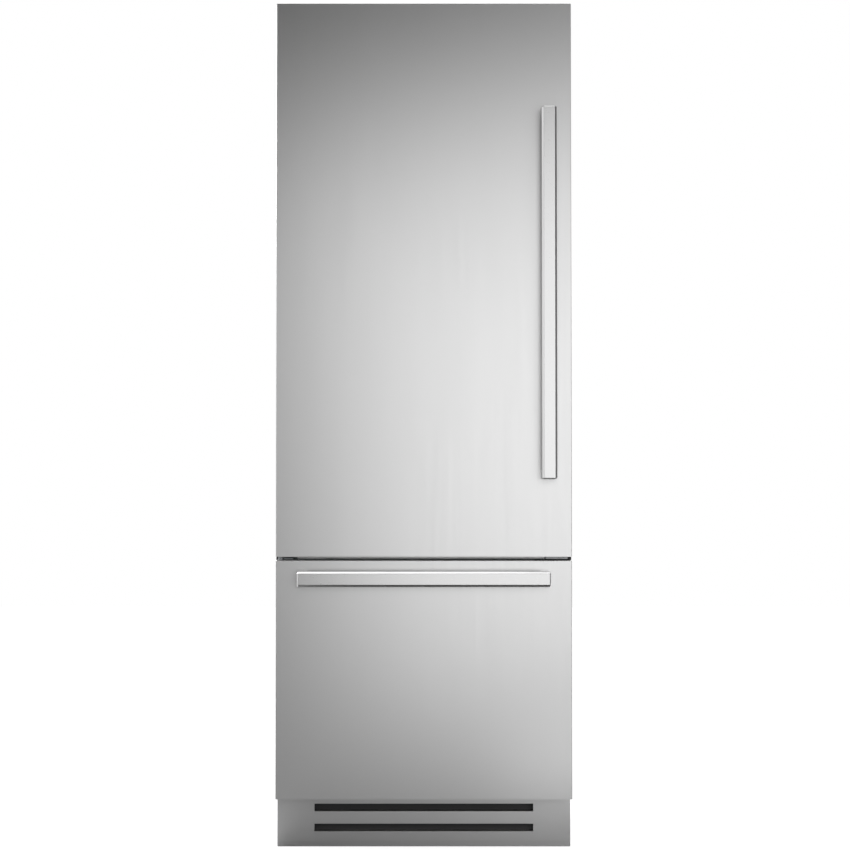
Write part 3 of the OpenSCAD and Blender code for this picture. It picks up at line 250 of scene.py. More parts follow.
class Finish:
    """One slot's material: its shader, the place on the piece, and what is layered into the shader."""

    def __init__(self, slot, **plain):
        finishes[slot], self.tree = node_material(slot)
        values = {socket.replace("_", " "): value for socket, value in plain.items()}
        self.shader = add(self.tree, "ShaderNodeBsdfPrincipled", values)
        self.out = add(self.tree, "ShaderNodeOutputMaterial", {"Surface": self.shader.outputs["BSDF"]})
        self.place = add(self.tree, "ShaderNodeTexCoord").outputs["Object"]
        self.colour = self.rough = None

    def effect(self, group, **inputs):
        """Places a shared effect with its own values."""
        return add(self.tree, "ShaderNodeGroup", {"Place": self.place, **inputs}, node_tree=group).outputs

    def tone(self, colour, size, amount):
        self.colour = self.effect(TONE, Colour=(*colour, 1), Size=size, Amount=amount)["Colour"]
        return self

    def brushed(self, roughness, along=(1, 1, 0.02), lines=1400.0, spread=0.08, depth=0.02):
        """Brushing that runs along the axis with the small scale."""
        long = add(self.tree, "ShaderNodeMapping", {"Vector": self.place, "Scale": along}).outputs[0]
        made = self.effect(GRAIN, Place=long, Lines=lines, Roughness=roughness, Spread=spread)
        return self.relief(made, depth)

    def pitted(self, roughness, pits=900.0, spread=0.08, depth=0.1):
        return self.relief(self.effect(PITTED, Pits=pits, Roughness=roughness, Spread=spread), depth)

    def relief(self, made, depth):
        """Takes the gloss of an effect, and its height as a bump."""
        self.rough = made["Roughness"]
        bump = add(self.tree, "ShaderNodeBump",
                   {"Strength": depth, "Distance": RELIEF, "Height": made["Height"]})
        self.tree.links.new(bump.outputs["Normal"], self.shader.inputs["Normal"])
        return self

    def layered(self, group, **inputs):
        """Passes the colour so far through an effect that also gives a gloss."""
        made = self.effect(group, Colour=self.colour, **inputs)
        self.colour, self.rough = made["Colour"], made["Roughness"]
        return self

    def spangled(self, roughness, flakes, spread):
        return self.layered(SPANGLE, Flakes=flakes, Roughness=roughness, Spread=spread)

    def dusty(self, amount):
        return self.layered(DUST, Roughness=self.rough, Amount=amount)

    def clear(self, tint):
        """Lets light through as shadow rays meet it, so that what lies behind isn't in the dark."""
        shadow = add(self.tree, "ShaderNodeLightPath").outputs["Is Shadow Ray"]
        through = add(self.tree, "ShaderNodeBsdfTransparent", {"Color": (*tint, 1)}).outputs[0]
        both = add(self.tree, "ShaderNodeMixShader", {0: shadow, 1: self.shader.outputs["BSDF"], 2: through})
        self.tree.links.new(both.outputs[0], self.out.inputs["Surface"])
        return self

    def close(self):
        self.tree.links.new(self.colour, self.shader.inputs["Base Color"])
        self.tree.links.new(self.rough, self.shader.inputs["Roughness"])


# Finishes of the slots

def brushed_stainless():
    """Sheet steel of the fronts, brushed so finely that it looks even from a step away."""
    Finish("brushed_stainless", Metallic=1.0).tone((0.63, 0.63, 0.63), 1.3, 0.02).brushed(
        0.32, lines=1300.0, spread=0.04, depth=0.01).close()


def handle_stainless():
    """Solid bars, finely brushed."""
    Finish("handle_stainless", Metallic=1.0).tone((0.6, 0.6, 0.6), 6.0, 0.02).brushed(
        0.28, along=(1, 0.4, 1), lines=2600.0, spread=0.02, depth=0.002).close()


def coated_steel():
    """Casing sheet with a satin lacquer whose surface is very slightly uneven."""
    Finish("coated_steel", IOR=1.5).tone((0.55, 0.56, 0.57), 2.2, 0.05).pitted(
        0.42, pits=420.0, spread=0.1, depth=0.05).close()


def galvanised_steel():
    """Zinc-dipped sheet with its spangle and a little dust."""
    Finish("galvanised_steel", Metallic=0.5).tone((0.52, 0.53, 0.54), 3.0, 0.06).spangled(
        0.42, flakes=140.0, spread=0.12).dusty(0.35).close()


def hinge_steel():
    """Phosphated plate of the hinges."""
    Finish("hinge_steel", Metallic=0.7).tone((0.3, 0.31, 0.32), 30.0, 0.16).pitted(
        0.42, pits=1500.0, spread=0.12, depth=0.08).close()


def zinc_steel():
    """Bright zinc plating on drawn and stamped steel."""
    Finish("zinc_steel", Metallic=1.0).tone((0.66, 0.67, 0.68), 18.0, 0.1).brushed(
        0.3, along=(1, 0.03, 1), lines=900.0, spread=0.12, depth=0.03).close()


def black_steel():
    """Thick black enamel of the compressor's shell, dusty on top."""
    Finish("black_steel", Coat_Weight=0.25, Coat_Roughness=0.15).tone((0.03, 0.03, 0.03), 9.0, 0.3).pitted(
        0.3, pits=260.0, spread=0.14, depth=0.12).dusty(0.5).close()


def satin_aluminium():
    """Anodised profiles, drawn along their length."""
    Finish("satin_aluminium", Metallic=1.0).tone((0.74, 0.75, 0.76), 5.0, 0.04).brushed(
        0.36, along=(0.02, 1, 1), lines=1600.0, spread=0.08, depth=0.03).close()


def raw_aluminium():
    """Thin fins and bent tube as they leave the mill."""
    Finish("raw_aluminium", Metallic=1.0).tone((0.7, 0.71, 0.72), 24.0, 0.12).pitted(
        0.34, pits=600.0, spread=0.2, depth=0.05).dusty(0.25).close()


def copper():
    """Drawn tube that has darkened in patches."""
    Finish("copper", Metallic=1.0).tone((0.72, 0.4, 0.26), 26.0, 0.5).pitted(
        0.3, pits=500.0, spread=0.3, depth=0.05).close()


def foam():
    """Blown foam: open cells and flow marks."""
    Finish("foam", IOR=1.3).tone((0.86, 0.8, 0.58), 12.0, 0.14).pitted(
        0.9, pits=520.0, spread=0.05, depth=0.8).close()


def white_liner():
    """Vacuum-formed sheet with a soft gloss."""
    Finish("white_liner", IOR=1.52).tone((0.9, 0.91, 0.92), 2.5, 0.02).pitted(
        0.3, pits=240.0, spread=0.06, depth=0.03).close()


def white_plastic():
    """Moulded covers inside the compartments."""
    Finish("white_plastic", IOR=1.5).tone((0.88, 0.89, 0.9), 5.0, 0.025).pitted(
        0.38, pits=1100.0, spread=0.08, depth=0.07).close()


def light_diffuser():
    """Frosted cover that glows evenly, also the lit marks of the control panel."""
    Finish("light_diffuser", Emission_Color=(1.0, 0.98, 0.93, 1), Emission_Strength=0.5).tone(
        (0.95, 0.95, 0.93), 20.0, 0.03).pitted(0.5, pits=1400.0, spread=0.05, depth=0.1).close()


def clear_plastic():
    """Clear polystyrene of bins, crispers and baskets, with faint flow lines."""
    Finish("clear_plastic", IOR=1.45, Transmission_Weight=0.93).tone((0.93, 0.96, 0.97), 7.0, 0.03).pitted(
        0.07, pits=60.0, spread=0.06, depth=0.02).clear((0.9, 0.93, 0.94)).close()


def grey_plastic():
    """Light grey mouldings: trim cap, roller hubs and the control box."""
    Finish("grey_plastic", IOR=1.48).tone((0.66, 0.67, 0.68), 14.0, 0.06).pitted(
        0.45, pits=1300.0, spread=0.08, depth=0.15).close()


def dark_plastic():
    """Fine textured end caps of the fronts."""
    Finish("dark_plastic", IOR=1.48).tone((0.12, 0.12, 0.13), 14.0, 0.1).pitted(
        0.5, pits=1500.0, spread=0.08, depth=0.2).close()


def dark_gloss_plastic():
    """Control panel's smoked front."""
    Finish("dark_gloss_plastic", Coat_Weight=0.5, Coat_Roughness=0.05).tone(
        (0.05, 0.05, 0.055), 8.0, 0.1).pitted(0.18, pits=200.0, spread=0.08, depth=0.01).close()


def black_plastic():
    """Fans, drip tray and air hoods, dusty where they look up; also the black blocks in the gap, which are
    painted shade.
    """
    Finish("black_plastic", IOR=1.48).tone((0.017, 0.017, 0.018), 16.0, 0.25).pitted(
        0.45, pits=1200.0, spread=0.1, depth=0.15).dusty(0.3).close()


def shelf_glass():
    """Tempered glass with a slight green cast."""
    Finish("shelf_glass", IOR=1.5, Transmission_Weight=1.0).tone((0.9, 0.965, 0.94), 2.0, 0.01).pitted(
        0.02, pits=30.0, spread=0.01, depth=0.0).clear((0.9, 0.95, 0.93)).close()


def gasket_rubber():
    """Soft vinyl of the magnetic seals."""
    Finish("gasket_rubber", IOR=1.45, Sheen_Weight=0.1).tone((0.55, 0.56, 0.57), 12.0, 0.07).pitted(
        0.6, pits=1000.0, spread=0.08, depth=0.1).close()


def roller_rubber():
    """Hard tyres, scuffed by the floor."""
    Finish("roller_rubber", IOR=1.45).tone((0.05, 0.05, 0.05), 60.0, 0.6).pitted(
        0.65, pits=900.0, spread=0.2, depth=0.3).dusty(0.3).close()


for make in (brushed_stainless, handle_stainless, coated_steel, galvanised_steel, hinge_steel, zinc_steel,
             black_steel, satin_aluminium, raw_aluminium, copper, foam, white_liner, white_plastic,
             light_diffuser, clear_plastic, grey_plastic, dark_plastic, dark_gloss_plastic, black_plastic,
             shelf_glass, gasket_rubber, roller_rubber):
    make()
for name, thing in nodes.items():
    thing.data.materials.clear()
    thing.data.materials.append(finishes[slot_of[name]])


# Pieces and outlines

def placed(name, data):
    """Puts a mesh, lamp or camera into the scene."""
    thing = bpy.data.objects.new(name, data)
    bpy.context.scene.collection.objects.link(thing)
    return thing


def mesh_of(name, bm):
    """Turns the working mesh into a plain one and frees it."""
    mesh = bpy.data.meshes.new(name)
    bm.to_mesh(mesh)
    bm.free()
    return mesh


def shaded(mesh, seam):
    """Smooth shading that stays crisp along sharp seams."""
    mesh.shade_smooth()
    mesh.set_sharp_from_angle(angle=seam)


def finished(name, bm, slot, body, *replaced, seam=SEAM):
    """Makes a piece of the mesh: its shading, its finish, its body and the nodes it stands for."""
    mesh = mesh_of(name, bm)
    shaded(mesh, seam)
    mesh.materials.append(finishes[slot])
    thing = placed(name, mesh)
    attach(thing, body)
    if replaced:
        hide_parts(*replaced)
    return thing


def remade(node, ending, bm):
    """A piece that stands for one node, with the node's finish and body."""
    return finished(f"{node}_{ending}", bm, slot_of[node], body_of[node], node)


def even_shading(thing):
    """Shades rounded edges from the large faces that they join."""
    thing.modifiers.new("even shading", "WEIGHTED_NORMAL").keep_sharp = True


def walled(thing, thickness, even=False):
    """Gives a surface its thickness, inwards."""
    wall = thing.modifiers.new("wall", "SOLIDIFY")
    wall.thickness = thickness
    wall.offset = -1
    wall.use_even_offset = even
    return thing


def loft(bm, outlines, closed=True, caps=False):
    """A surface that joins outlines, each a list of places; its ends are closed if asked."""
    rings = [[bm.verts.new(p) for p in outline] for outline in outlines]
    for a, b in zip(rings, rings[1:]):
        for i in range(len(a) if closed else len(a) - 1):
            j = (i + 1) % len(a)
            bm.faces.new((a[i], a[j], b[j], b[i]))
    if caps:
        bm.faces.new(rings[0][::-1])
        bm.faces.new(rings[-1])


def along_x(bm, side, ends):
    """A profile of (y, z) points drawn from one place on X to another."""
    loft(bm, [[(x, y, z) for y, z in side] for x in ends], caps=True)


def outward(bm):
    """Joins doubled points and turns every face outwards."""
    bmesh.ops.remove_doubles(bm, verts=bm.verts, dist=MERGE)
    bmesh.ops.recalc_face_normals(bm, faces=bm.faces)
    return bm


def eased(bm, edges, width, steps, clamp=False):
    """Gives edges a radius, or a chamfer where it has one step."""
    bmesh.ops.bevel(bm, geom=edges, offset=width, offset_type="OFFSET", segments=steps, profile=0.5,
                    affect="EDGES", clamp_overlap=clamp)


def sharp_edges(bm):
    """Edges between two faces that meet at more than a slight angle."""
    return [e for e in bm.edges if len(e.link_faces) == 2 and e.calc_face_angle(0) > SHARP]


def circle(r, steps):
    """Points of a circle round the origin."""
    return [(r * math.cos(a), r * math.sin(a)) for a in (2 * math.pi * i / steps for i in range(steps))]


def arc(centre, r, start, end, steps):
    """Points of an arc between two angles in degrees."""
    turns = [math.radians(start + (end - start) * i / steps) for i in range(steps + 1)]
    return [(centre[0] + r * math.cos(a), centre[1] + r * math.sin(a)) for a in turns]


def rounded(half_w, half_h, r, steps=6):
    """Rounded rectangle round the origin, anticlockwise."""
    points = []
    for k, (sx, sy) in enumerate(((1, 1), (-1, 1), (-1, -1), (1, -1))):
        for i in range(steps + 1):
            a = math.radians(90 * (k + i / steps))
            points.append((sx * (half_w - r) + r * math.cos(a), sy * (half_h - r) + r * math.sin(a)))
    return points


def upright_ring(half_w, z, r, y, steps=6):
    """Rounded rectangle that stands upright at depth y, between two heights."""
    mid, half_h = (z[0] + z[1]) / 2, (z[1] - z[0]) / 2
    return [(u, y, mid + v) for u, v in rounded(half_w, half_h, r, steps)]


def rounded_box(bm, x, y, z, r=1.0 * MM, steps=2):
    """A block with rounded edges between two values on each axis."""
    verts = bmesh.ops.create_cube(bm, size=1)["verts"]
    for v in verts:
        v.co = Vector([pair[0] + (pair[1] - pair[0]) * (c + 0.5) for pair, c in zip((x, y, z), v.co)])
    eased(bm, list({e for v in verts for e in v.link_edges}), r, steps)


def turned(bm, profile, put, steps=32, caps=True):
    """Revolves a profile of (radius, height) points; put turns (u, v, height) into a place."""
    loft(bm, [[put(u, v, h) for u, v in circle(r, steps)] for r, h in profile], caps=caps)


def bead(bm, half_l, half_w, height, put, steps=6):
    """A pressed bead with round ends; put turns (along, across, height) into a place."""
    outlines = []
    for k in range(steps):
        share = k / steps
        r = half_w * (1 - share)
        h = height * (0.5 - 0.5 * math.cos(math.pi * share))
        outlines.append([put(u, v, h) for u, v in rounded(half_l + r, r, r, 5)])
    loft(bm, outlines, caps=True)


def mirrored(a, b):
    """One stretch of X at the left and the same at the right."""
    return [sorted((side * a, side * b)) for side in (-1, 1)]


def evenly(a, b, count):
    """Evenly spaced places between two ends."""
    return [tuple(Vector(a).lerp(Vector(b), i / (count - 1))) for i in range(count)]


def middle_of(node):
    """Middle of a node's box on X, Y and Z."""
    return [(low + high) / 2 for low, high in zip(*box_of[node])]


def merged_copy(node):
    """The node's mesh with its loose triangles joined and its flat faces whole."""
    bm = bmesh.new()
    bm.from_mesh(nodes[node].data)
    bmesh.ops.remove_doubles(bm, verts=bm.verts, dist=MERGE)
    bmesh.ops.dissolve_limit(bm, angle_limit=FLAT, verts=bm.verts, edges=bm.edges)
    return bm


def softened(node, width):
    """The node with a small radius along its sharp edges, as pressing and moulding leave them."""
    bm = merged_copy(node)
    eased(bm, sharp_edges(bm), width * MM, 2, clamp=True)
    even_shading(remade(node, "finished", bm))


# Repeated small parts, placed by geometry nodes

def repeat_tree(name, **extra):
    """A tree for copies of a part, with its named inputs; returns it and what it takes."""
    tree = bpy.data.node_groups.new(name, "GeometryNodeTree")
    kinds = {"Geometry": "Geometry", "Part": "Object", "Facing": "Vector", "Spin": "Float", "Seed": "Int",
             "Finish": "Material", **extra}
    for title, kind in kinds.items():
        tree.interface.new_socket(title, in_out="INPUT", socket_type="NodeSocket" + kind)
    tree.interface.new_socket("Geometry", in_out="OUTPUT", socket_type="NodeSocketGeometry")
    return tree, tree.nodes.new("NodeGroupInput").outputs


def copies_on(tree, takes, points):
    """Copies of the part on the points, turned to face their way, each spun at random on its own axis."""
    part = add(tree, "GeometryNodeObjectInfo", {"Object": takes["Part"]}).outputs["Geometry"]
    facing = add(tree, "FunctionNodeEulerToRotation", {0: takes["Facing"]}).outputs[0]
    copies = add(tree, "GeometryNodeInstanceOnPoints",
                 {"Points": points, "Instance": part, "Rotation": facing})
    spin = add(tree, "FunctionNodeRandomValue", {"Seed": takes["Seed"], 3: takes["Spin"]}, data_type="FLOAT")
    turn = add(tree, "ShaderNodeCombineXYZ", {"Z": spin.outputs[1]})
    spun = add(tree, "GeometryNodeRotateInstances",
               {"Instances": copies.outputs[0], "Rotation": turn.outputs[0], "Local Space": True})
    real = add(tree, "GeometryNodeRealizeInstances", {"Geometry": spun.outputs[0]})
    coated = add(tree, "GeometryNodeSetMaterial", {"Geometry": real.outputs[0], "Material": takes["Finish"]})
    add(tree, "NodeGroupOutput", {0: coated.outputs[0]})
    return tree


def points_tree():
    """Copies on the points of the piece's own mesh."""
    tree, takes = repeat_tree("copies on points")
    return copies_on(tree, takes, takes["Geometry"])


def row_tree():
    """Copies in a straight row from a start, one step apart."""
    tree, takes = repeat_tree("copies in a row", Count="Int", Start="Vector", Step="Vector")
    line = add(tree, "GeometryNodeMeshLine", {"Count": takes["Count"], "Start Location": takes["Start"],
                                              "Offset": takes["Step"]}, mode="OFFSET")
    return copies_on(tree, takes, line.outputs[0])


ON_POINTS, IN_ROW = points_tree(), row_tree()


def repeated(name, tree, part, slot, body, points=(), facing=(0, 0, 0), spin=0.0, seed=1, seam=SEAM, **sizes):
    """Bakes one tree's copies of a part into a plain piece."""
    base = bpy.data.meshes.new(name)
    base.from_pydata([tuple(p) for p in points] or [(0, 0, 0)], [], [])
    holder = placed(name, base)
    pattern = placed(name + "_part", mesh_of(name + "_part", part))
    pattern_mesh = pattern.data
    values = {"Part": pattern, "Facing": facing, "Spin": spin, "Seed": seed,
              "Finish": finishes[slot], **sizes}
    modifier = holder.modifiers.new("copies", "NODES")
    modifier.node_group = tree
    for socket in tree.interface.items_tree:
        if socket.in_out == "INPUT" and socket.name in values:
            modifier[socket.identifier] = values[socket.name]
    bpy.context.view_layer.update()
    ready = bpy.data.meshes.new_from_object(holder.evaluated_get(bpy.context.evaluated_depsgraph_get()))
    holder.modifiers.remove(modifier)
    bpy.data.objects.remove(pattern)
    bpy.data.meshes.remove(pattern_mesh)
    holder.data = ready
    bpy.data.meshes.remove(base)
    ready.name = name
    shaded(ready, seam)
    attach(holder, body)
    return holder


# Folded sheet steel

def sheet_piece(node, points, faces, bend):
    """Sheet folded along the edges that its faces share, with its thickness inwards."""
    bm = bmesh.new()
    corner = {key: bm.verts.new(p) for key, p in points.items()}
    for face in faces:
        bm.faces.new([corner[key] for key in face.split()])
    eased(bm, [e for e in bm.edges if len(e.link_faces) == 2], bend, 4)
    even_shading(walled(remade(node, "folded", bm), SHEET, even=True))


def front_skin(node, pocket=None):
    """Skin of a front: face, two sides with hems, and top. The door's left side is cut for the hinge."""
    (x0, y0, z0), (x1, y1, z1) = box_of[node]
    yp, zp = y0 + POCKET_FRONT, pocket or z1
    points = {"f0": (x0, y0, z0), "f1": (x1, y0, z0), "f2": (x1, y0, z1), "f3": (x0, y0, z1),
              "b0": (x0, y1, z0), "b1": (x1, y1, z0), "b2": (x1, y1, z1), "b3": (x0, y1, z1),
              "h0": (x0 + HEM, y1, z0), "h1": (x1 - HEM, y1, z0), "h2": (x1 - HEM, y1, z1),
              "h3": (x0 + HEM, y1, zp)}
    faces = ["f0 f1 f2 f3", "f1 b1 b2 f2", "b1 h1 h2 b2"]
    if pocket:
        points |= {"p0": (x0, yp, z1), "p1": (x0, yp, zp), "p2": (x0, y1, zp)}
        faces += ["b0 f0 f3 p0 p1 p2", "h0 b0 p2 h3", "f3 f2 b2 b3 p0"]
    else:
        faces += ["b0 f0 f3 b3", "h0 b0 b3 h3", "f3 f2 b2 b3"]
    sheet_piece(node, points, faces, SKIN_BEND)


def casing():
    """Two sides and the roof, folded from one sheet."""
    (x0, y0, z0), (x1, y1, z1) = box_of["outer_casing"]
    points = {"a": (x0, y0, z0), "b": (x0, y1, z0), "c": (x0, y1, z1), "d": (x0, y0, z1),
              "e": (x1, y0, z0), "f": (x1, y1, z0), "g": (x1, y1, z1), "h": (x1, y0, z1)}
    sheet_piece("outer_casing", points, ["b a d c", "e f g h", "d h g c"], CASING_BEND)


# Seals

def gasket(node):
    """Magnetic seal swept round its frame: foot, bellows with two folds, and head."""
    (x0, y0, z0), (x1, y1, z1) = box_of[node]
    half, depth, corner = 8 * MM, y1 - y0, 26 * MM
    foot, waist, fold, head = 1.0, 0.5, 0.82, 0.87
    profile = [(-foot, 0.0), (foot, 0.0), (foot, 0.12), (0.8, 0.21), (0.62, 0.25), (waist, 0.33),
               (0.56, 0.4), (fold, 0.47), (fold, 0.53), (0.56, 0.59), (waist, 0.65), (0.6, 0.69),
               (head, 0.71), (head, 0.93), (0.8, 1.0)]
    profile += [(-u, v) for u, v in reversed(profile[2:])]
    mid_z, half_w, half_h = (z0 + z1) / 2, (x1 - x0) / 2 - half, (z1 - z0) / 2 - half
    outlines = []
    for u, v in profile:
        ring = rounded(half_w + u * half, half_h + u * half, corner + u * half, 10)
        outlines.append([(x, y0 + v * depth, mid_z + z) for x, z in ring])
    bm = bmesh.new()
    loft(bm, outlines + [outlines[0]])
    remade(node, "bellows", outward(bm))


# Liners

def compartment(node):
    """Vacuum-formed compartment with a generous rear radius and a slightly flared mouth."""
    (x0, y0, z0), (x1, y1, z1) = box_of[node]
    corner, fillet, steps, flare, mouth = 20 * MM, 18 * MM, 6, 0.9 * MM, 1.6 * MM
    inner, z, back = x1 - LINER, (z0 + LINER, z1 - LINER), y1 - LINER
    rings = [upright_ring(inner + flare, (z[0] - flare, z[1] + flare), corner + flare, y0),
             upright_ring(inner, z, corner, y0 + mouth), upright_ring(inner, z, corner, back - fillet)]
    for i in range(1, steps + 1):
        a = math.radians(90 * i / steps)
        off = fillet * (1 - math.cos(a))
        y = back - fillet + fillet * math.sin(a)
        rings.append(upright_ring(inner - off, (z[0] + off, z[1] - off), corner - off * 0.9, y))
    bm = bmesh.new()
    loft(bm, rings)
    bm.verts.ensure_lookup_table()
    bm.faces.new(bm.verts[-len(rings[-1]):])
    even_shading(walled(remade(node, "formed", bm), FORMED))


def front_inner(node, notch=None):
    """Inner liner of a front: flat plate, and the raised rim with its radii and draft."""
    (x0, y0, z0), (x1, y1, z1) = box_of[node]
    rim_w, rim_r, foot_r, top_r, draft = 14 * MM, 22.5 * MM, 5 * MM, 5 * MM, 1.2 * MM
    base, top = y0 + LINER, y1
    half_w, z = RIM[node]
    bm = bmesh.new()
    outline = [(x0, z0), (x1, z0), (x1, z1), (x0, z1)]
    if notch:
        outline = [(x0, z0), (x1, z0), (x1, z1), (notch[0], z1), (notch[0], notch[1]), (x0, notch[1])]
    plate = bm.faces.new([bm.verts.new((x, base, h)) for x, h in outline])
    grown = bmesh.ops.extrude_face_region(bm, geom=[plate])["geom"]
    for v in grown:
        if isinstance(v, bmesh.types.BMVert):
            v.co.y = y0
    eased(bm, [e for e in bm.edges if all(abs(v.co.y - base) < MERGE for v in e.verts)], 0.8 * MM, 2)
    side = arc((foot_r, base + foot_r), foot_r, -90, -180, 4)
    side += arc((-draft - top_r, top - top_r), top_r, 0, 90, 4)
    inner = [(-rim_w - u, y) for u, y in reversed(side)]
    outlines = [upright_ring(half_w + u, (z[0] - u, z[1] + u), rim_r + u, y, 8) for u, y in side + inner]
    loft(bm, outlines + [outlines[0]])
    even_shading(remade(node, "formed", outward(bm)))


# Nodes that keep their shape and get soft edges, with each radius in millimetres

softening = {
    "door_end_caps": 1.0, "drawer_end_caps": 1.0,
    "front_frame": 0.4, "machine_bay_deck": 0.5, "base_frame": 0.6, "toe_grille": 0.4,
    "upper_hinge": 0.6, "centre_hinge": 0.5, "anti_tip_bracket": 0.5,
    "shelf_frames": 1.6, "shelf_glass": 0.8, "crisper_cover": 1.6, "air_duct": 1.5, "side_lights": 1.0,
    "control_panel": 1.5, "freezer_rear_cover": 0.8, "slide_cabinet_members": 0.4,
    "slide_middle_members": 0.4, "slide_drawer_members": 0.4, "freezer_basket": 0.9, "freezer_tray": 0.9,
    "dairy_box": 0.8, "dairy_lid": 0.8, "crisper_left": 0.9, "crisper_right": 0.9,
    "door_bin_1": 0.9, "door_bin_2": 0.9, "door_bin_3": 0.9, "control_board_box": 1.5, "drip_tray": 0.8,
    "condenser_fan_housing": 1.5, "compressor": 1.5,
}


def handle(node, along):
    """The bar with a small chamfer round its ends and a radius along its edges."""
    end_chamfer, edge_radius = 2.4 * MM, 0.7 * MM
    bm = merged_copy(node)
    tips = [corner[along] for corner in box_of[node]]
    ends = [e for e in bm.edges if any(all(abs(v.co[along] - tip) < MERGE for v in e.verts) for tip in tips)]
    eased(bm, ends, end_chamfer, 1, clamp=True)
    eased(bm, sharp_edges(bm), edge_radius, 3, clamp=True)
    even_shading(remade(node, "finished", bm))


# Gap between the fronts

plate_low, plate_high = box_of["centre_hinge"]
cap_low, cap_high = box_of["centre_trim_cap"]
cap_middle = (cap_low.z + cap_high.z) / 2
gap_back, gap_top = cap_high.y + 0.6 * MM, cap_high.z + 0.3 * MM
# radius of the black blocks that are painted shade in the gap
SHADE_BLOCK_R = 0.6 * MM


def mullion_trim():
    """Thin nose of the mullion that shows in the gap, from the centre hinge to the trim cap."""
    nose, low, low_r, top_r = cap_low.y + 4 * MM, cap_high.z - 3.6 * MM, 1.6 * MM, 1.0 * MM
    side = [(gap_back, low)] + arc((nose + low_r, low + low_r), low_r, 270, 180, 4)
    side += arc((nose + top_r, gap_top - top_r), top_r, 180, 90, 3) + [(gap_back, gap_top)]
    bm = bmesh.new()
    along_x(bm, side, (plate_high.x + 2 * MM, cap_low.x - 2.5 * MM))
    finished("mullion_trim", outward(bm), "brushed_stainless", "cabinet")


def mullion_shade_blocks():
    """Black blocks at both ends of the gap and over the lower half of the trim cap: painted shade, where the
    gap lies in shadow.
    """
    outer = box_of["door_skin"][1].x - 0.6 * MM
    bm = bmesh.new()
    for x in ((-outer, plate_low.x - 0.5 * MM), (cap_high.x + 1.0 * MM, outer)):
        rounded_box(bm, x, (cap_low.y + 8 * MM, gap_back), (cap_low.z - 0.4 * MM, gap_top), SHADE_BLOCK_R)
    rounded_box(bm, (cap_low.x, cap_high.x), (cap_low.y + 3 * MM, cap_high.y), (cap_low.z, cap_middle),
                SHADE_BLOCK_R)
    finished("mullion_end_blocks", bm, "black_plastic", "cabinet")


def trim_cap_lip():
    """Grey lip of the trim cap, its upper half; the lower half is a black block of painted shade."""
    bm = bmesh.new()
    rounded_box(bm, (cap_low.x, cap_high.x), (cap_low.y, cap_high.y), (cap_middle, cap_high.z), 1.0 * MM, 3)
    even_shading(remade("centre_trim_cap", "lip", bm))


# Mouldings and trims inside the fridge and the freezer

# Grooved profile along the shelves' front edges, in millimetres: inwards from the edge, and up
TRIM_SECTION = ((0.4, 1.2), (-0.98, 1.2), (-1.4, 2.2), (-1.4, 6.6), (-0.9, 7.2), (-0.9, 8.8), (-1.4, 9.4),
                (-1.4, 13.8), (-0.98, 14.8), (0.4, 14.8))


def fridge_mouldings():
    """Ledges under the shelves and the crispers' runners, rounded into the liner's walls."""
    bm = bmesh.new()
    ledge, deep, runner_w, runner_h = 8 * MM, 1.0 * MM, 8 * MM, 6 * MM
    for i in range(SHELVES + 1):
        top = cover_z + i * shelf_step
        for x in mirrored(half_inner - ledge, half_inner + deep):
            rounded_box(bm, x, (shelf_front + 12 * MM, shelf_back - 4 * MM), (top - ledge, top), 2.5 * MM, 3)
    for start in (24 * MM, half_inner - 46 * MM):
        for x in mirrored(start, start + runner_w):
            rounded_box(bm, x, (shelf_front + 6 * MM, fridge[1].y - 6.5 * MM),
                        (fridge_z[0] - deep, fridge_z[0] + runner_h), 2 * MM, 3)
    even_shading(finished("fridge_liner_ledges", bm, "white_liner", "cabinet"))


def freezer_mouldings():
    """Runners that carry the upper tray."""
    tray_low, tray_high = box_of["freezer_tray"]
    top = tray_high.z - 4.3 * MM
    bm = bmesh.new()
    for x in mirrored(half_inner - 22 * MM, half_inner + 1 * MM):
        rounded_box(bm, x, (tray_low.y - 6 * MM, tray_high.y + 4 * MM), (top - 8 * MM, top), 2 * MM, 3)
    even_shading(finished("freezer_liner_runners", bm, "white_liner", "cabinet"))


def shelf_trims():
    """Anodised profile with a groove along the front of each shelf and of the crisper cover."""
    bm = bmesh.new()
    half = shelf_half - 2 * MM
    for i in range(SHELVES + 1):
        z = cover_z + i * shelf_step
        along_x(bm, [(shelf_front + u * MM, z + v * MM) for u, v in TRIM_SECTION], (-half, half))
    finished("shelf_front_trims", outward(bm), "satin_aluminium", "cabinet")


def band_round(bm, path, z, thick):
    """A thin band with rounded edges that follows a path seen from above, standing on its outer side."""
    edge, sunk = min(thick, z[1] - z[0]) * 0.35, 0.3 * MM
    section = [(-sunk, z[0]), (thick - edge, z[0]), (thick, z[0] + edge), (thick, z[1] - edge),
               (thick - edge, z[1]), (-sunk, z[1])]
    outlines = []
    for i, p in enumerate(path):
        before, after = Vector(path[max(i - 1, 0)]), Vector(path[min(i + 1, len(path) - 1)])
        run = (after - before).normalized()
        out = Vector((run.y, -run.x))
        outlines.append([(p[0] + out.x * u, p[1] + out.y * u, h) for u, h in section])
    loft(bm, outlines, caps=True)


def bin_trims():
    """Anodised band round the upper front edge of each door bin."""
    side_length, r, inset, thick, low_edge, top_edge = 34 * MM, 14 * MM, 1.7 * MM, 1.1 * MM, 18 * MM, 5 * MM
    for i in (1, 2, 3):
        high = box_of[f"door_bin_{i}"][1]
        half = high.x - inset
        path = [(-half, high.y - side_length)] + arc((-half + r, high.y - r), r, 180, 90, 8)
        path += [(-x, y) for x, y in reversed(path)]
        bm = bmesh.new()
        band_round(bm, path[::-1], (high.z - low_edge, high.z - top_edge), thick)
        finished(f"door_bin_{i}_band", outward(bm), "satin_aluminium", "door")


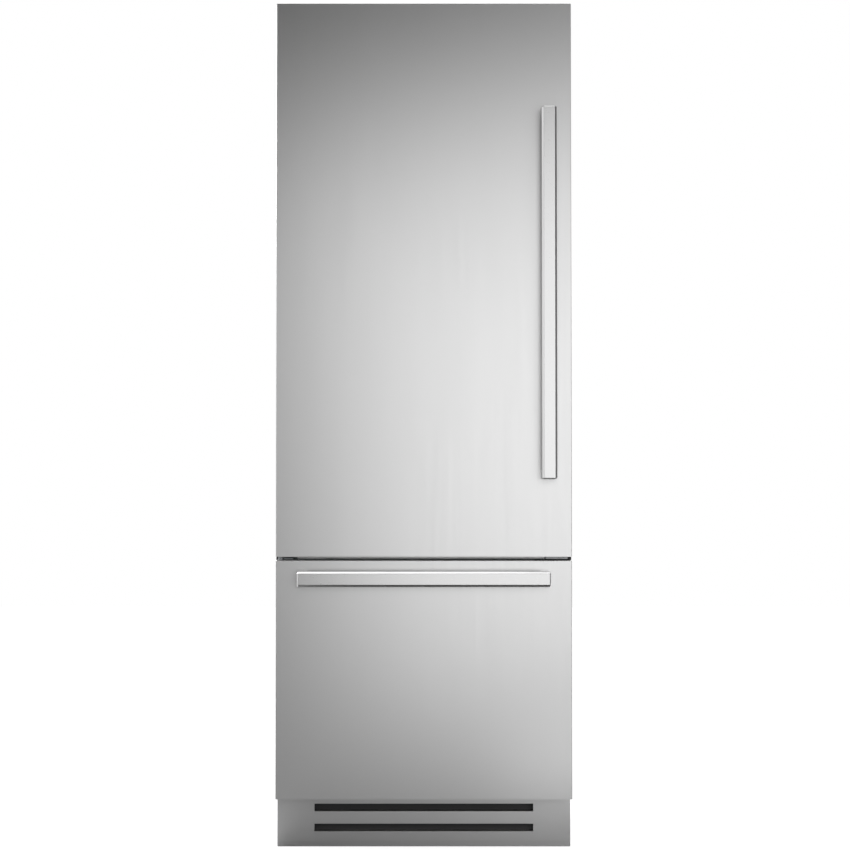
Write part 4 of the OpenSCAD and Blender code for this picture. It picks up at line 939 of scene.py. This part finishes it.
def crisper_fronts():
    """Fine upright flutes and an anodised grip strip on each crisper's front."""
    flute, pitch, margin, foot, end = 1.5 * MM, 6 * MM, 16 * MM, 12 * MM, 1.2 * MM
    for node in ("crisper_left", "crisper_right"):
        (x0, y0, z0), (x1, y1, z1) = box_of[node]
        height = (z1 - z0) - 62 * MM
        part = bmesh.new()
        outline = arc((0, 0), flute, 180, 360, 6)
        levels = ((0, 0.3), (end, 1), (height - end, 1), (height, 0.3))
        loft(part, [[(u * s, v * s * 0.6, h) for u, v in outline] for h, s in levels], caps=True)
        count = int((x1 - x0 - 2 * margin) / pitch) + 1
        start = (x0 + x1) / 2 - (count - 1) * pitch / 2
        repeated(node + "_flutes", IN_ROW, outward(part), "clear_plastic", body_of[node], Count=count,
                 Start=(start, y0, z0 + foot), Step=(pitch, 0, 0))
        strip = bmesh.new()
        rounded_box(strip, (x0 + 6 * MM, x1 - 6 * MM), (y0 - 1.2 * MM, y0 + 0.4 * MM),
                    (z1 - 11 * MM, z1 - 2 * MM), 0.5 * MM)
        even_shading(finished(node + "_grip_strip", strip, "satin_aluminium", body_of[node]))


def light_ribs():
    """Lens ribs across both side lights."""
    low, high = box_of["side_lights"]
    rib_r, pitch, half, margin = 1.6 * MM, 5 * MM, 5 * MM, 6 * MM
    count = int((high.z - low.z - 2 * margin) / pitch)
    for side, name in SIDES:
        part = bmesh.new()
        outline = arc((0, 0), rib_r, 0, 180, 6)
        loft(part, [[(-side * v * 0.5, y, u) for u, v in outline] for y in (-half, half)], caps=True)
        start = (side * (half_inner - 4 * MM), middle_of("side_lights")[1], low.z + margin)
        repeated(f"{name}_light_ribs", IN_ROW, outward(part), "light_diffuser", "cabinet", Count=count,
                 Start=start, Step=(0, 0, pitch))


def duct_louvres():
    """Two slats in each outlet of the air duct, and a raised rib down its middle."""
    low, high = box_of["air_duct"]
    slat_half, slat_depth, slat_t, tilt, outlet = 14 * MM, 4 * MM, 0.7 * MM, -28, 50 * MM
    for side, name in SIDES:
        for number, up in ((1, 3.8), (2, 8.2)):
            part = bmesh.new()
            rounded_box(part, (-slat_half, slat_half), (-slat_depth, slat_depth), (-slat_t, slat_t), 0.4 * MM)
            bmesh.ops.rotate(part, verts=part.verts, matrix=Matrix.Rotation(math.radians(tilt), 3, "X"))
            start = (side * outlet, low.y + 5.5 * MM, cover_z + shelf_step * 0.62 + up * MM)
            repeated(f"{name}_duct_slats_{number}", IN_ROW, part, "white_plastic", "cabinet",
                     Count=SHELVES + 1, Start=start, Step=(0, 0, shelf_step))
    mid_z = middle_of("air_duct")[2]
    bm = bmesh.new()
    bead(bm, (high.z - low.z) / 2 - 40 * MM, 10 * MM, 2.5 * MM, lambda u, v, h: (v, low.y - h, mid_z + u))
    finished("air_duct_rib", outward(bm), "white_plastic", "cabinet")


# Control panel: display and keys on the sloping face

panel_box = box_of["control_panel"]
slope_low = Vector((0, panel_box[0].y + 24 * MM, panel_box[0].z))
slope_high = Vector((0, panel_box[0].y, panel_box[1].z - 17.1 * MM))
slope_up = (slope_high - slope_low).normalized()
slope_out = Vector((1, 0, 0)).cross(slope_up).normalized()
if slope_out.y > 0:
    slope_out = -slope_out
slope_mid = (slope_low + slope_high) / 2

SEGMENTS = {"-": "g", "1": "bc", "4": "fgbc", "8": "abcdefg"}    # lit bars: a to f around, g across
KEYS = (-112 * MM, -28 * MM, 22 * MM, 124 * MM)                  # middles of the keys: minus and plus, twice
FIGURE, SIGN, BAR = 11 * MM, 5 * MM, 0.9 * MM                    # figures' height, signs' length and width


def on_slope(u, v, h):
    """A place on the panel's sloping face: across, up the slope, and off it."""
    return slope_mid + Vector((u, 0, 0)) + slope_up * v + slope_out * h


def mark(bm, u, v, w, tall):
    """A low raised bar on the sloping face."""
    thick = 0.25 * MM
    outline = rounded(w / 2, tall / 2, min(w, tall) * 0.45, 3)
    levels = ((-0.2 * MM, 1), (thick * 0.7, 1), (thick, 0.8))
    loft(bm, [[on_slope(u + a * s, v + b * s, h) for a, b in outline] for h, s in levels], caps=True)


def figures(bm, text, u):
    """Seven-segment figures from the place u to the right."""
    w, bar, pitch = FIGURE * 0.5, FIGURE * 0.11, FIGURE * 0.85
    lying, standing = (w - bar * 0.3, bar), (bar, FIGURE / 2 - bar * 0.3)
    where = {"a": (0, FIGURE / 2, lying), "g": (0, 0, lying), "d": (0, -FIGURE / 2, lying),
             "b": (w / 2, FIGURE / 4, standing), "c": (w / 2, -FIGURE / 4, standing),
             "e": (-w / 2, -FIGURE / 4, standing), "f": (-w / 2, FIGURE / 4, standing)}
    for k, figure in enumerate(text):
        for segment in SEGMENTS[figure]:
            du, dv, sizes = where[segment]
            mark(bm, u + k * pitch + du, dv, *sizes)


def panel_marks():
    """Two temperatures, and minus and plus signs."""
    bm = bmesh.new()
    figures(bm, "4", -70 * MM)
    figures(bm, "-18", 52 * MM)
    for centre in KEYS:
        mark(bm, centre, 0, SIGN, BAR)
    for centre in KEYS[1::2]:
        mark(bm, centre, 0, BAR, SIGN)
    finished("control_panel_marks", outward(bm), "light_diffuser", "cabinet")


def panel_keys():
    """Round keys with a shallow dish, one under each sign."""
    profile = [(r * MM, h * MM) for r, h in ((7.4, -0.2), (7.4, 0.12), (7.0, 0.3), (6.4, 0.3), (6.1, 0.14))]
    bm = bmesh.new()
    for centre in KEYS:
        turned(bm, profile, lambda u, v, h, centre=centre: on_slope(centre + u, v, h))
    finished("control_panel_keys", outward(bm), "dark_gloss_plastic", "cabinet")


# Rear, roof and sides

SCREW_R, SCREW_H = 3.4 * MM, 2.2 * MM
WHOLE_TURN = 6.28    # in radians


def rear_beads():
    """Galvanised rear panel with three upright beads and two level ones above the vents."""
    softened("rear_panel", 0.3)
    y, mid_z, half_w = panel_high.y + FLOAT_GAP, middle_of("rear_panel")[2], panel_high.x
    upright_half, raised, spread, level_share, level_z = 0.62, 0.16, 0.62, 0.8, (0.27, 0.33)
    bm = bmesh.new()
    for x in (-spread * half_w, 0, spread * half_w):
        bead(bm, upright_half, 10 * MM, 3.6 * MM, lambda u, v, h, x=x: (x + v, y + h, mid_z + raised + u))
    for z in level_z:
        bead(bm, half_w * level_share, 9 * MM, 3.4 * MM, lambda u, v, h, z=z: (u, y + h, z + v))
    finished("rear_panel_beads", outward(bm), "galvanised_steel", "cabinet", seam=BEAD_SEAM)


def rear_hoods():
    """Pressed hoods over the rear panel's vents."""
    vents, rows, vent_w, margin, lowest, pitch = 9, 4, 34 * MM, 90 * MM, 83 * MM, 24 * MM
    half_l, drop, rise = vent_w / 2 + 2 * MM, 6 * MM, 2.8 * MM
    outlines = []
    for share in (-1, -0.85, -0.5, 0, 0.5, 0.85, 1):
        x, lift = share * half_l, math.cos(share * math.pi / 2) ** 0.5
        outlines.append([(x, 0.0, drop), (x, rise * 0.55 * lift, drop * 0.55),
                         (x, rise * 0.95 * lift, -drop * 0.2), (x, rise * lift, -drop * 0.75)])
    part = bmesh.new()
    loft(part, outlines, closed=False)
    reach = casing_high.x - margin - vent_w / 2
    spots = [(-reach + i * 2 * reach / (vents - 1), panel_high.y + FLOAT_GAP, lowest + row * pitch)
             for i in range(vents) for row in range(rows)]
    walled(repeated("rear_louvre_hoods", ON_POINTS, part, "galvanised_steel", "cabinet", points=spots,
                    seam=HOOD_SEAM), HOOD_SHEET)


def screws(name, spots, facing, seed, r=SCREW_R, height=SCREW_H):
    """Pan heads with a flange and a round socket, each spun at random."""
    profile = ((0.09, 0.35), (0.45, 0.35), (0.486, 0.97), (0.62, 1.0), (0.86, 0.72), (0.94, 0.36),
               (1.25, 0.3), (1.25, 0.0))
    bm = bmesh.new()
    turned(bm, [(u * r, v * height) for u, v in profile], lambda u, v, h: (u, v, h), steps=12)
    repeated(name, ON_POINTS, outward(bm), "zinc_steel", "cabinet", points=spots,
             facing=tuple(math.radians(a) for a in facing), spin=WHOLE_TURN, seed=seed)


def rear_screws():
    """Screws round the rear panel."""
    half, y = panel_high.x - 9 * MM, panel_high.y
    low, top = panel_low.z + 10 * MM, panel_high.z - 10 * MM
    spots = evenly((-half, y, low), (-half, y, top), 9) + evenly((half, y, low), (half, y, top), 9)
    for z in (top, low):
        spots += evenly((-half, y, z), (half, y, z), 6)[1:-1]
    screws("rear_panel_screws", spots, (-90, 0, 0), seed=3)


def side_screws():
    """Screws near the rear and front edges of the casing's sides."""
    rear, front = casing_high.y - 16 * MM, casing_low.y + 14 * MM
    low, top = casing_low.z + 30 * MM, casing_high.z - 30 * MM
    for side, name in SIDES:
        x = side * casing_high.x
        spots = evenly((x, rear, low), (x, rear, top), 9) + evenly((x, front, low), (x, front, top), 5)
        screws(f"casing_screws_{name}", spots, (0, 90 * side, 0), seed=5)


def roof_screws():
    """Screws on the wall bracket's foot and on the roof."""
    bracket = box_of["anti_tip_bracket"][0]
    y, z, roof = bracket.y + 18 * MM, bracket.z + 2 * MM, casing_high.z
    foot_half, rear_half, rear_y, corner_x, corner_y = 0.14, 0.33, 0.3, (0.3, 0.35), -0.19
    spots = evenly((-foot_half, y, z), (foot_half, y, z), 4)
    spots += evenly((-rear_half, rear_y, roof), (rear_half, rear_y, roof), 2)
    spots += evenly((corner_x[0], corner_y, roof), (corner_x[1], corner_y, roof), 2)
    screws("roof_screws", spots, (0, 0, 0), seed=7, r=3.6 * MM, height=2.4 * MM)


def roof_beads():
    """Three long pressed beads that stiffen the roof."""
    z, half_l, mid_y = casing_high.z + FLOAT_GAP, 0.17, 0.03
    bm = bmesh.new()
    for x in (-0.2, 0, 0.2):
        bead(bm, half_l, 11 * MM, 3 * MM, lambda u, v, h, x=x: (x + v, mid_y + u, z + h))
    finished("roof_beads", outward(bm), "coated_steel", "cabinet", seam=BEAD_SEAM)


# Toe panel

def toe_louvres():
    """Black hoods behind the two air slots, which let air up and keep the machine bay out of sight."""
    low, high = box_of["toe_grille"]
    front, back, half = low.y + 1.6 * MM, high.y - 1.5 * MM, SLOT_HALF + 3 * MM
    wall, bend = 1.4 * MM, 6 * MM
    inner_bend = bend + 0.6 * MM
    bm = bmesh.new()
    for slot in SLOT_LOW:
        foot, top = slot - 5 * MM, slot + SLOT_H + 7 * MM
        side = [(front, foot), (back - bend, foot), (back, foot + bend), (back, top), (back - wall, top),
                (back - wall, foot + inner_bend), (back - inner_bend, foot + wall), (front, foot + wall)]
        along_x(bm, side, (-half, half))
        for x in mirrored(half, half + wall):
            rounded_box(bm, x, (front, back), (foot, top), 0.4 * MM)
    finished("toe_grille_louvres", outward(bm), "black_plastic", "cabinet")


# Ground: feet and rollers

def levelling_foot(node):
    """Turned foot: rounded pad, lock nut and a threaded stem."""
    cx, cy = middle_of(node)[:2]
    top = box_of[node][1].z / MM
    profile = [(0.4, 0.0), (19, 0.0), (20, 0.8), (19.4, 3.2), (17.4, 8.2), (16.4, 9.0), (7, 9.0), (5, 9.6)]
    pitch, thread = 1.5, 9.6
    while thread + pitch < top - 1:
        profile += [(4.2, thread + pitch * 0.5), (5.0, thread + pitch)]
        thread += pitch
    profile += [(4.0, top), (0.4, top)]
    bm = bmesh.new()
    turned(bm, [(r * MM, h * MM) for r, h in profile], lambda u, v, h: (cx + u, cy + v, h))
    nut_low, nut = 19.7 * MM, circle(9 * MM, 6)
    levels = ((0.88, 0.0), (1.0, 0.9 * MM), (1.0, 9.1 * MM), (0.88, 10 * MM))
    loft(bm, [[(cx + u * s, cy + v * s, nut_low + up) for u, v in nut] for s, up in levels], caps=True)
    remade(node, "turned", outward(bm))


def roller(node):
    """Tyre with worn shoulders on a hub with a sunken web on each side."""
    cx, cy, cz = middle_of(node)
    low, high = box_of[node]
    r, half = (high.z - low.z) / 2, (high.x - low.x) / 2
    bore = 4.06 * MM / r
    tyre_side = [(0.62, -0.8), (0.84, -1.0), (0.96, -0.93), (1.0, -0.72)]
    hub_side = [(bore, -0.98), (0.34, -0.98), (0.36, -0.6), (0.56, -0.5), (0.62, -0.86), (0.645, -0.86)]
    rings = []
    for side in (tyre_side, hub_side):
        profile = [(a * r, h * half) for a, h in side + [(a, -h) for a, h in reversed(side)]]
        bm = bmesh.new()
        turned(bm, profile + profile[:1], lambda u, v, h: (cx + h, cy + u, cz + v), steps=40, caps=False)
        rings.append(outward(bm))
    remade(node, "tyre", rings[0])
    finished(node + "_hub", rings[1], "grey_plastic", body_of[node])


# Freezer slides and coils

def slide_balls():
    """Caged balls between the members of the telescopic slides."""
    low, high = box_of["slide_middle_members"]
    ball, count, pitch, sunk = 0.9 * MM, 24, 9 * MM, 0.25 * MM
    for side, name in SIDES:
        for z, level in ((low.z - sunk, "lower"), (high.z + sunk, "upper")):
            part = bmesh.new()
            bmesh.ops.create_icosphere(part, subdivisions=2, radius=ball)
            repeated(f"{name}_{level}_slide_balls", IN_ROW, part, "zinc_steel", "slide_middles", Count=count,
                     Start=(side * (high.x - 6 * MM), low.y + 20 * MM, z), Step=(0, pitch, 0))


def dense_fins(node, count, inset):
    """The fins between the few that the frame holds, inset from the node's box on X, Y and Z."""
    fin = 0.12 * MM
    x, y, z = [(low + by * MM, high - by * MM) for low, high, by in zip(*box_of[node], inset)]
    part = bmesh.new()
    rounded_box(part, (-fin, fin), y, z, 0.08 * MM, 1)
    repeated(node + "_fins", IN_ROW, part, "raw_aluminium", "cabinet", Count=count, Start=(x[0], 0, 0),
             Step=((x[1] - x[0]) / (count - 1), 0, 0))


# Build of the object

front_skin("door_skin", pocket_floor)
front_skin("drawer_skin")
casing()
gasket("door_gasket")
gasket("drawer_gasket")
front_inner("door_liner", liner_notch)
front_inner("drawer_liner")
compartment("fridge_liner")
compartment("freezer_liner")
for node, width in softening.items():
    softened(node, width)
handle("door_handle", 2)
handle("drawer_handle", 0)
mullion_trim()
mullion_shade_blocks()
trim_cap_lip()
fridge_mouldings()
freezer_mouldings()
shelf_trims()
bin_trims()
crisper_fronts()
light_ribs()
duct_louvres()
panel_marks()
panel_keys()
rear_beads()
rear_hoods()
rear_screws()
side_screws()
roof_screws()
roof_beads()
for node in ("foot_left", "foot_right"):
    levelling_foot(node)
for node in ("roller_left", "roller_right"):
    roller(node)
slide_balls()
toe_louvres()
dense_fins("evaporator", 120, (16, 10.5, 0.3))
dense_fins("condenser", 70, (16, 0.4, 10.5))


# Camera, floor and light

CAMERA_PLACE, CAMERA_TILT = (0, -5.97, 0.89), 91.78
SENSOR, LENS, SHIFT, FAR_LIMIT = 36, 95.7, 0.0014, 60

AMBIENT = 0.6                  # light from all round on matt surfaces
FLOOR_HALF = 12.0              # half the floor's side
FLOOR_TONE = 0.42              # the floor's own colour
FLOOR_LIFT = 0.84              # white added to it where it is seen
SHADED_CLOSE_TONE, FAR_TONE = 0.16, 0.3    # its colour in reflections: close to the fronts, darkened as painted shade, and farther in front
PAINTED_LIGHT_PATCH_TONE = 0.9               # and in a painted bright patch that the toe panel's left end mirrors as a painted highlight
PAINTED_LIGHT_PATCH_SIDE = (-0.34, -0.42)    # where on X the painted bright patch begins and is full

# What reflections show of the studio, which is dark in front: the axis of each bright part,
# where on it the part begins and is full, and how bright it is
ROOM_TONE = 0.0
BEHIND, OVERHEAD, RIGHT = ("Y", 0.0, 0.5, 0.9), ("Z", 0.8, 0.95, 2.2), ("X", 0.8, 0.97, 0.12)
LEFT, FAR_LEFT = ("X", -0.35, -0.65, 0.7), ("X", -0.8, -0.97, 1.3)


def camera():
    """The photograph's view: a long lens a little below the middle of the front."""
    data = bpy.data.cameras.new("front_view")
    data.sensor_width, data.lens, data.shift_x, data.clip_end = SENSOR, LENS, SHIFT, FAR_LIMIT
    view = placed("front_view", data)
    view.location = CAMERA_PLACE
    view.rotation_euler = (math.radians(CAMERA_TILT), 0, 0)
    bpy.context.scene.camera = view


def seen(tree, path):
    """One in rays that come straight from the camera or through glass, and zero in others."""
    return computed(tree, "MAXIMUM", path["Is Camera Ray"], path["Is Transmission Ray"])


def mirrored_floor(tree, across, depth):
    """The floor's colour in reflections: painted shade that darkens it towards the fronts, and a painted
    bright patch at the left that the toe panel mirrors.
    """
    painted_shade_fade = ramp(tree, depth, front_y - 1.0, front_y - 0.2, FAR_TONE, SHADED_CLOSE_TONE)
    left = ramp(tree, across, *PAINTED_LIGHT_PATCH_SIDE)
    close = ramp(tree, depth, front_y - 0.6, front_y - 0.4, high=PAINTED_LIGHT_PATCH_TONE)
    return computed(tree, "MAXIMUM", painted_shade_fade, computed(tree, "MULTIPLY", left, close))


def floor():
    """Pale floor: white to the camera and in what mirrors the far side, and it keeps the shadow."""
    bm = bmesh.new()
    corners = ((-1, -1), (1, -1), (1, 1), (-1, 1))
    bm.faces.new([bm.verts.new((x * FLOOR_HALF, y * FLOOR_HALF, 0)) for x, y in corners])
    thing = placed("floor", mesh_of("floor", bm))
    material, tree = node_material("pale_floor")
    thing.data.materials.append(material)
    path = add(tree, "ShaderNodeLightPath").outputs
    place = add(tree, "ShaderNodeTexCoord").outputs["Object"]
    spot = add(tree, "ShaderNodeSeparateXYZ", {"Vector": place}).outputs
    # in reflections the floor carries painted shade near the fronts and a painted bright patch at the left
    dark = mirrored_floor(tree, spot["X"], spot["Y"])
    level = mixed(tree, path["Is Glossy Ray"], FLOOR_TONE, dark, "FLOAT")
    tone = add(tree, "ShaderNodeCombineColor", {"Red": level, "Green": level, "Blue": level})
    plain = add(tree, "ShaderNodeBsdfDiffuse", {"Color": tone.outputs[0]})
    behind = ramp(tree, spot["Y"], front_y + 0.1, front_y + 0.6)
    white_behind = computed(tree, "MULTIPLY", path["Is Glossy Ray"], behind)
    shown = computed(tree, "MAXIMUM", seen(tree, path), white_behind)
    lift = computed(tree, "MULTIPLY", shown, FLOOR_LIFT)
    glow = add(tree, "ShaderNodeEmission", {"Color": (1, 1, 1, 1), "Strength": lift})
    both = add(tree, "ShaderNodeAddShader", {0: plain.outputs[0], 1: glow.outputs[0]})
    add(tree, "ShaderNodeOutputMaterial", {"Surface": both.outputs[0]})


def studio_world():
    """White to the camera; to what mirrors it light behind, overhead and at the left, and dark elsewhere."""
    world = bpy.data.worlds.new("studio")
    bpy.context.scene.world = world
    world.use_nodes = True
    tree = world.node_tree
    tree.nodes.clear()
    path = add(tree, "ShaderNodeLightPath").outputs
    way = add(tree, "ShaderNodeSeparateXYZ", {"Vector": add(tree, "ShaderNodeTexCoord").outputs["Generated"]})
    room = ROOM_TONE
    for axis, start, full, level in (BEHIND, OVERHEAD, LEFT, FAR_LEFT, RIGHT):
        part = ramp(tree, way.outputs[axis], start, full, high=level, kind="SMOOTHSTEP")
        room = computed(tree, "MAXIMUM", part, room)
    shone = mixed(tree, path["Is Glossy Ray"], AMBIENT, room, "FLOAT")
    value = mixed(tree, seen(tree, path), shone, 1.0, "FLOAT")
    back = add(tree, "ShaderNodeBackground", {"Color": (1, 1, 1, 1), "Strength": value})
    add(tree, "ShaderNodeOutputWorld", {"Surface": back.outputs[0]})


def softbox(name, place, turn, size, radiance):
    """Rectangular lamp; its power follows from its size and how bright its face is."""
    data = bpy.data.lights.new(name, "AREA")
    data.shape, data.size, data.size_y = "RECTANGLE", size[0], size[1]
    data.energy = radiance * math.pi * size[0] * size[1]
    lamp = placed(name, data)
    lamp.location = place
    lamp.rotation_euler = [math.radians(a) for a in turn]


camera()
floor()
studio_world()
softbox("front_softbox", (1.88, front_y - 3.9, 1.48), turn=(90, -10, 0), size=(4.8, 2.66), radiance=1.58)
softbox("low_fill", (0.9, front_y - 1.0, 0.09), turn=(90, 0, 0), size=(1.3, 0.14), radiance=0.75)
softbox("left_fill", (-2.3, -1.7, 1.1), turn=(90, 0, -50), size=(1.6, 1.8), radiance=0.8)
softbox("rear_softbox", (-2.6, 2.2, 2.4), turn=(62, 0, -130), size=(1.0, 1.0), radiance=20)

bpy.context.scene.view_settings.view_transform = "Standard"
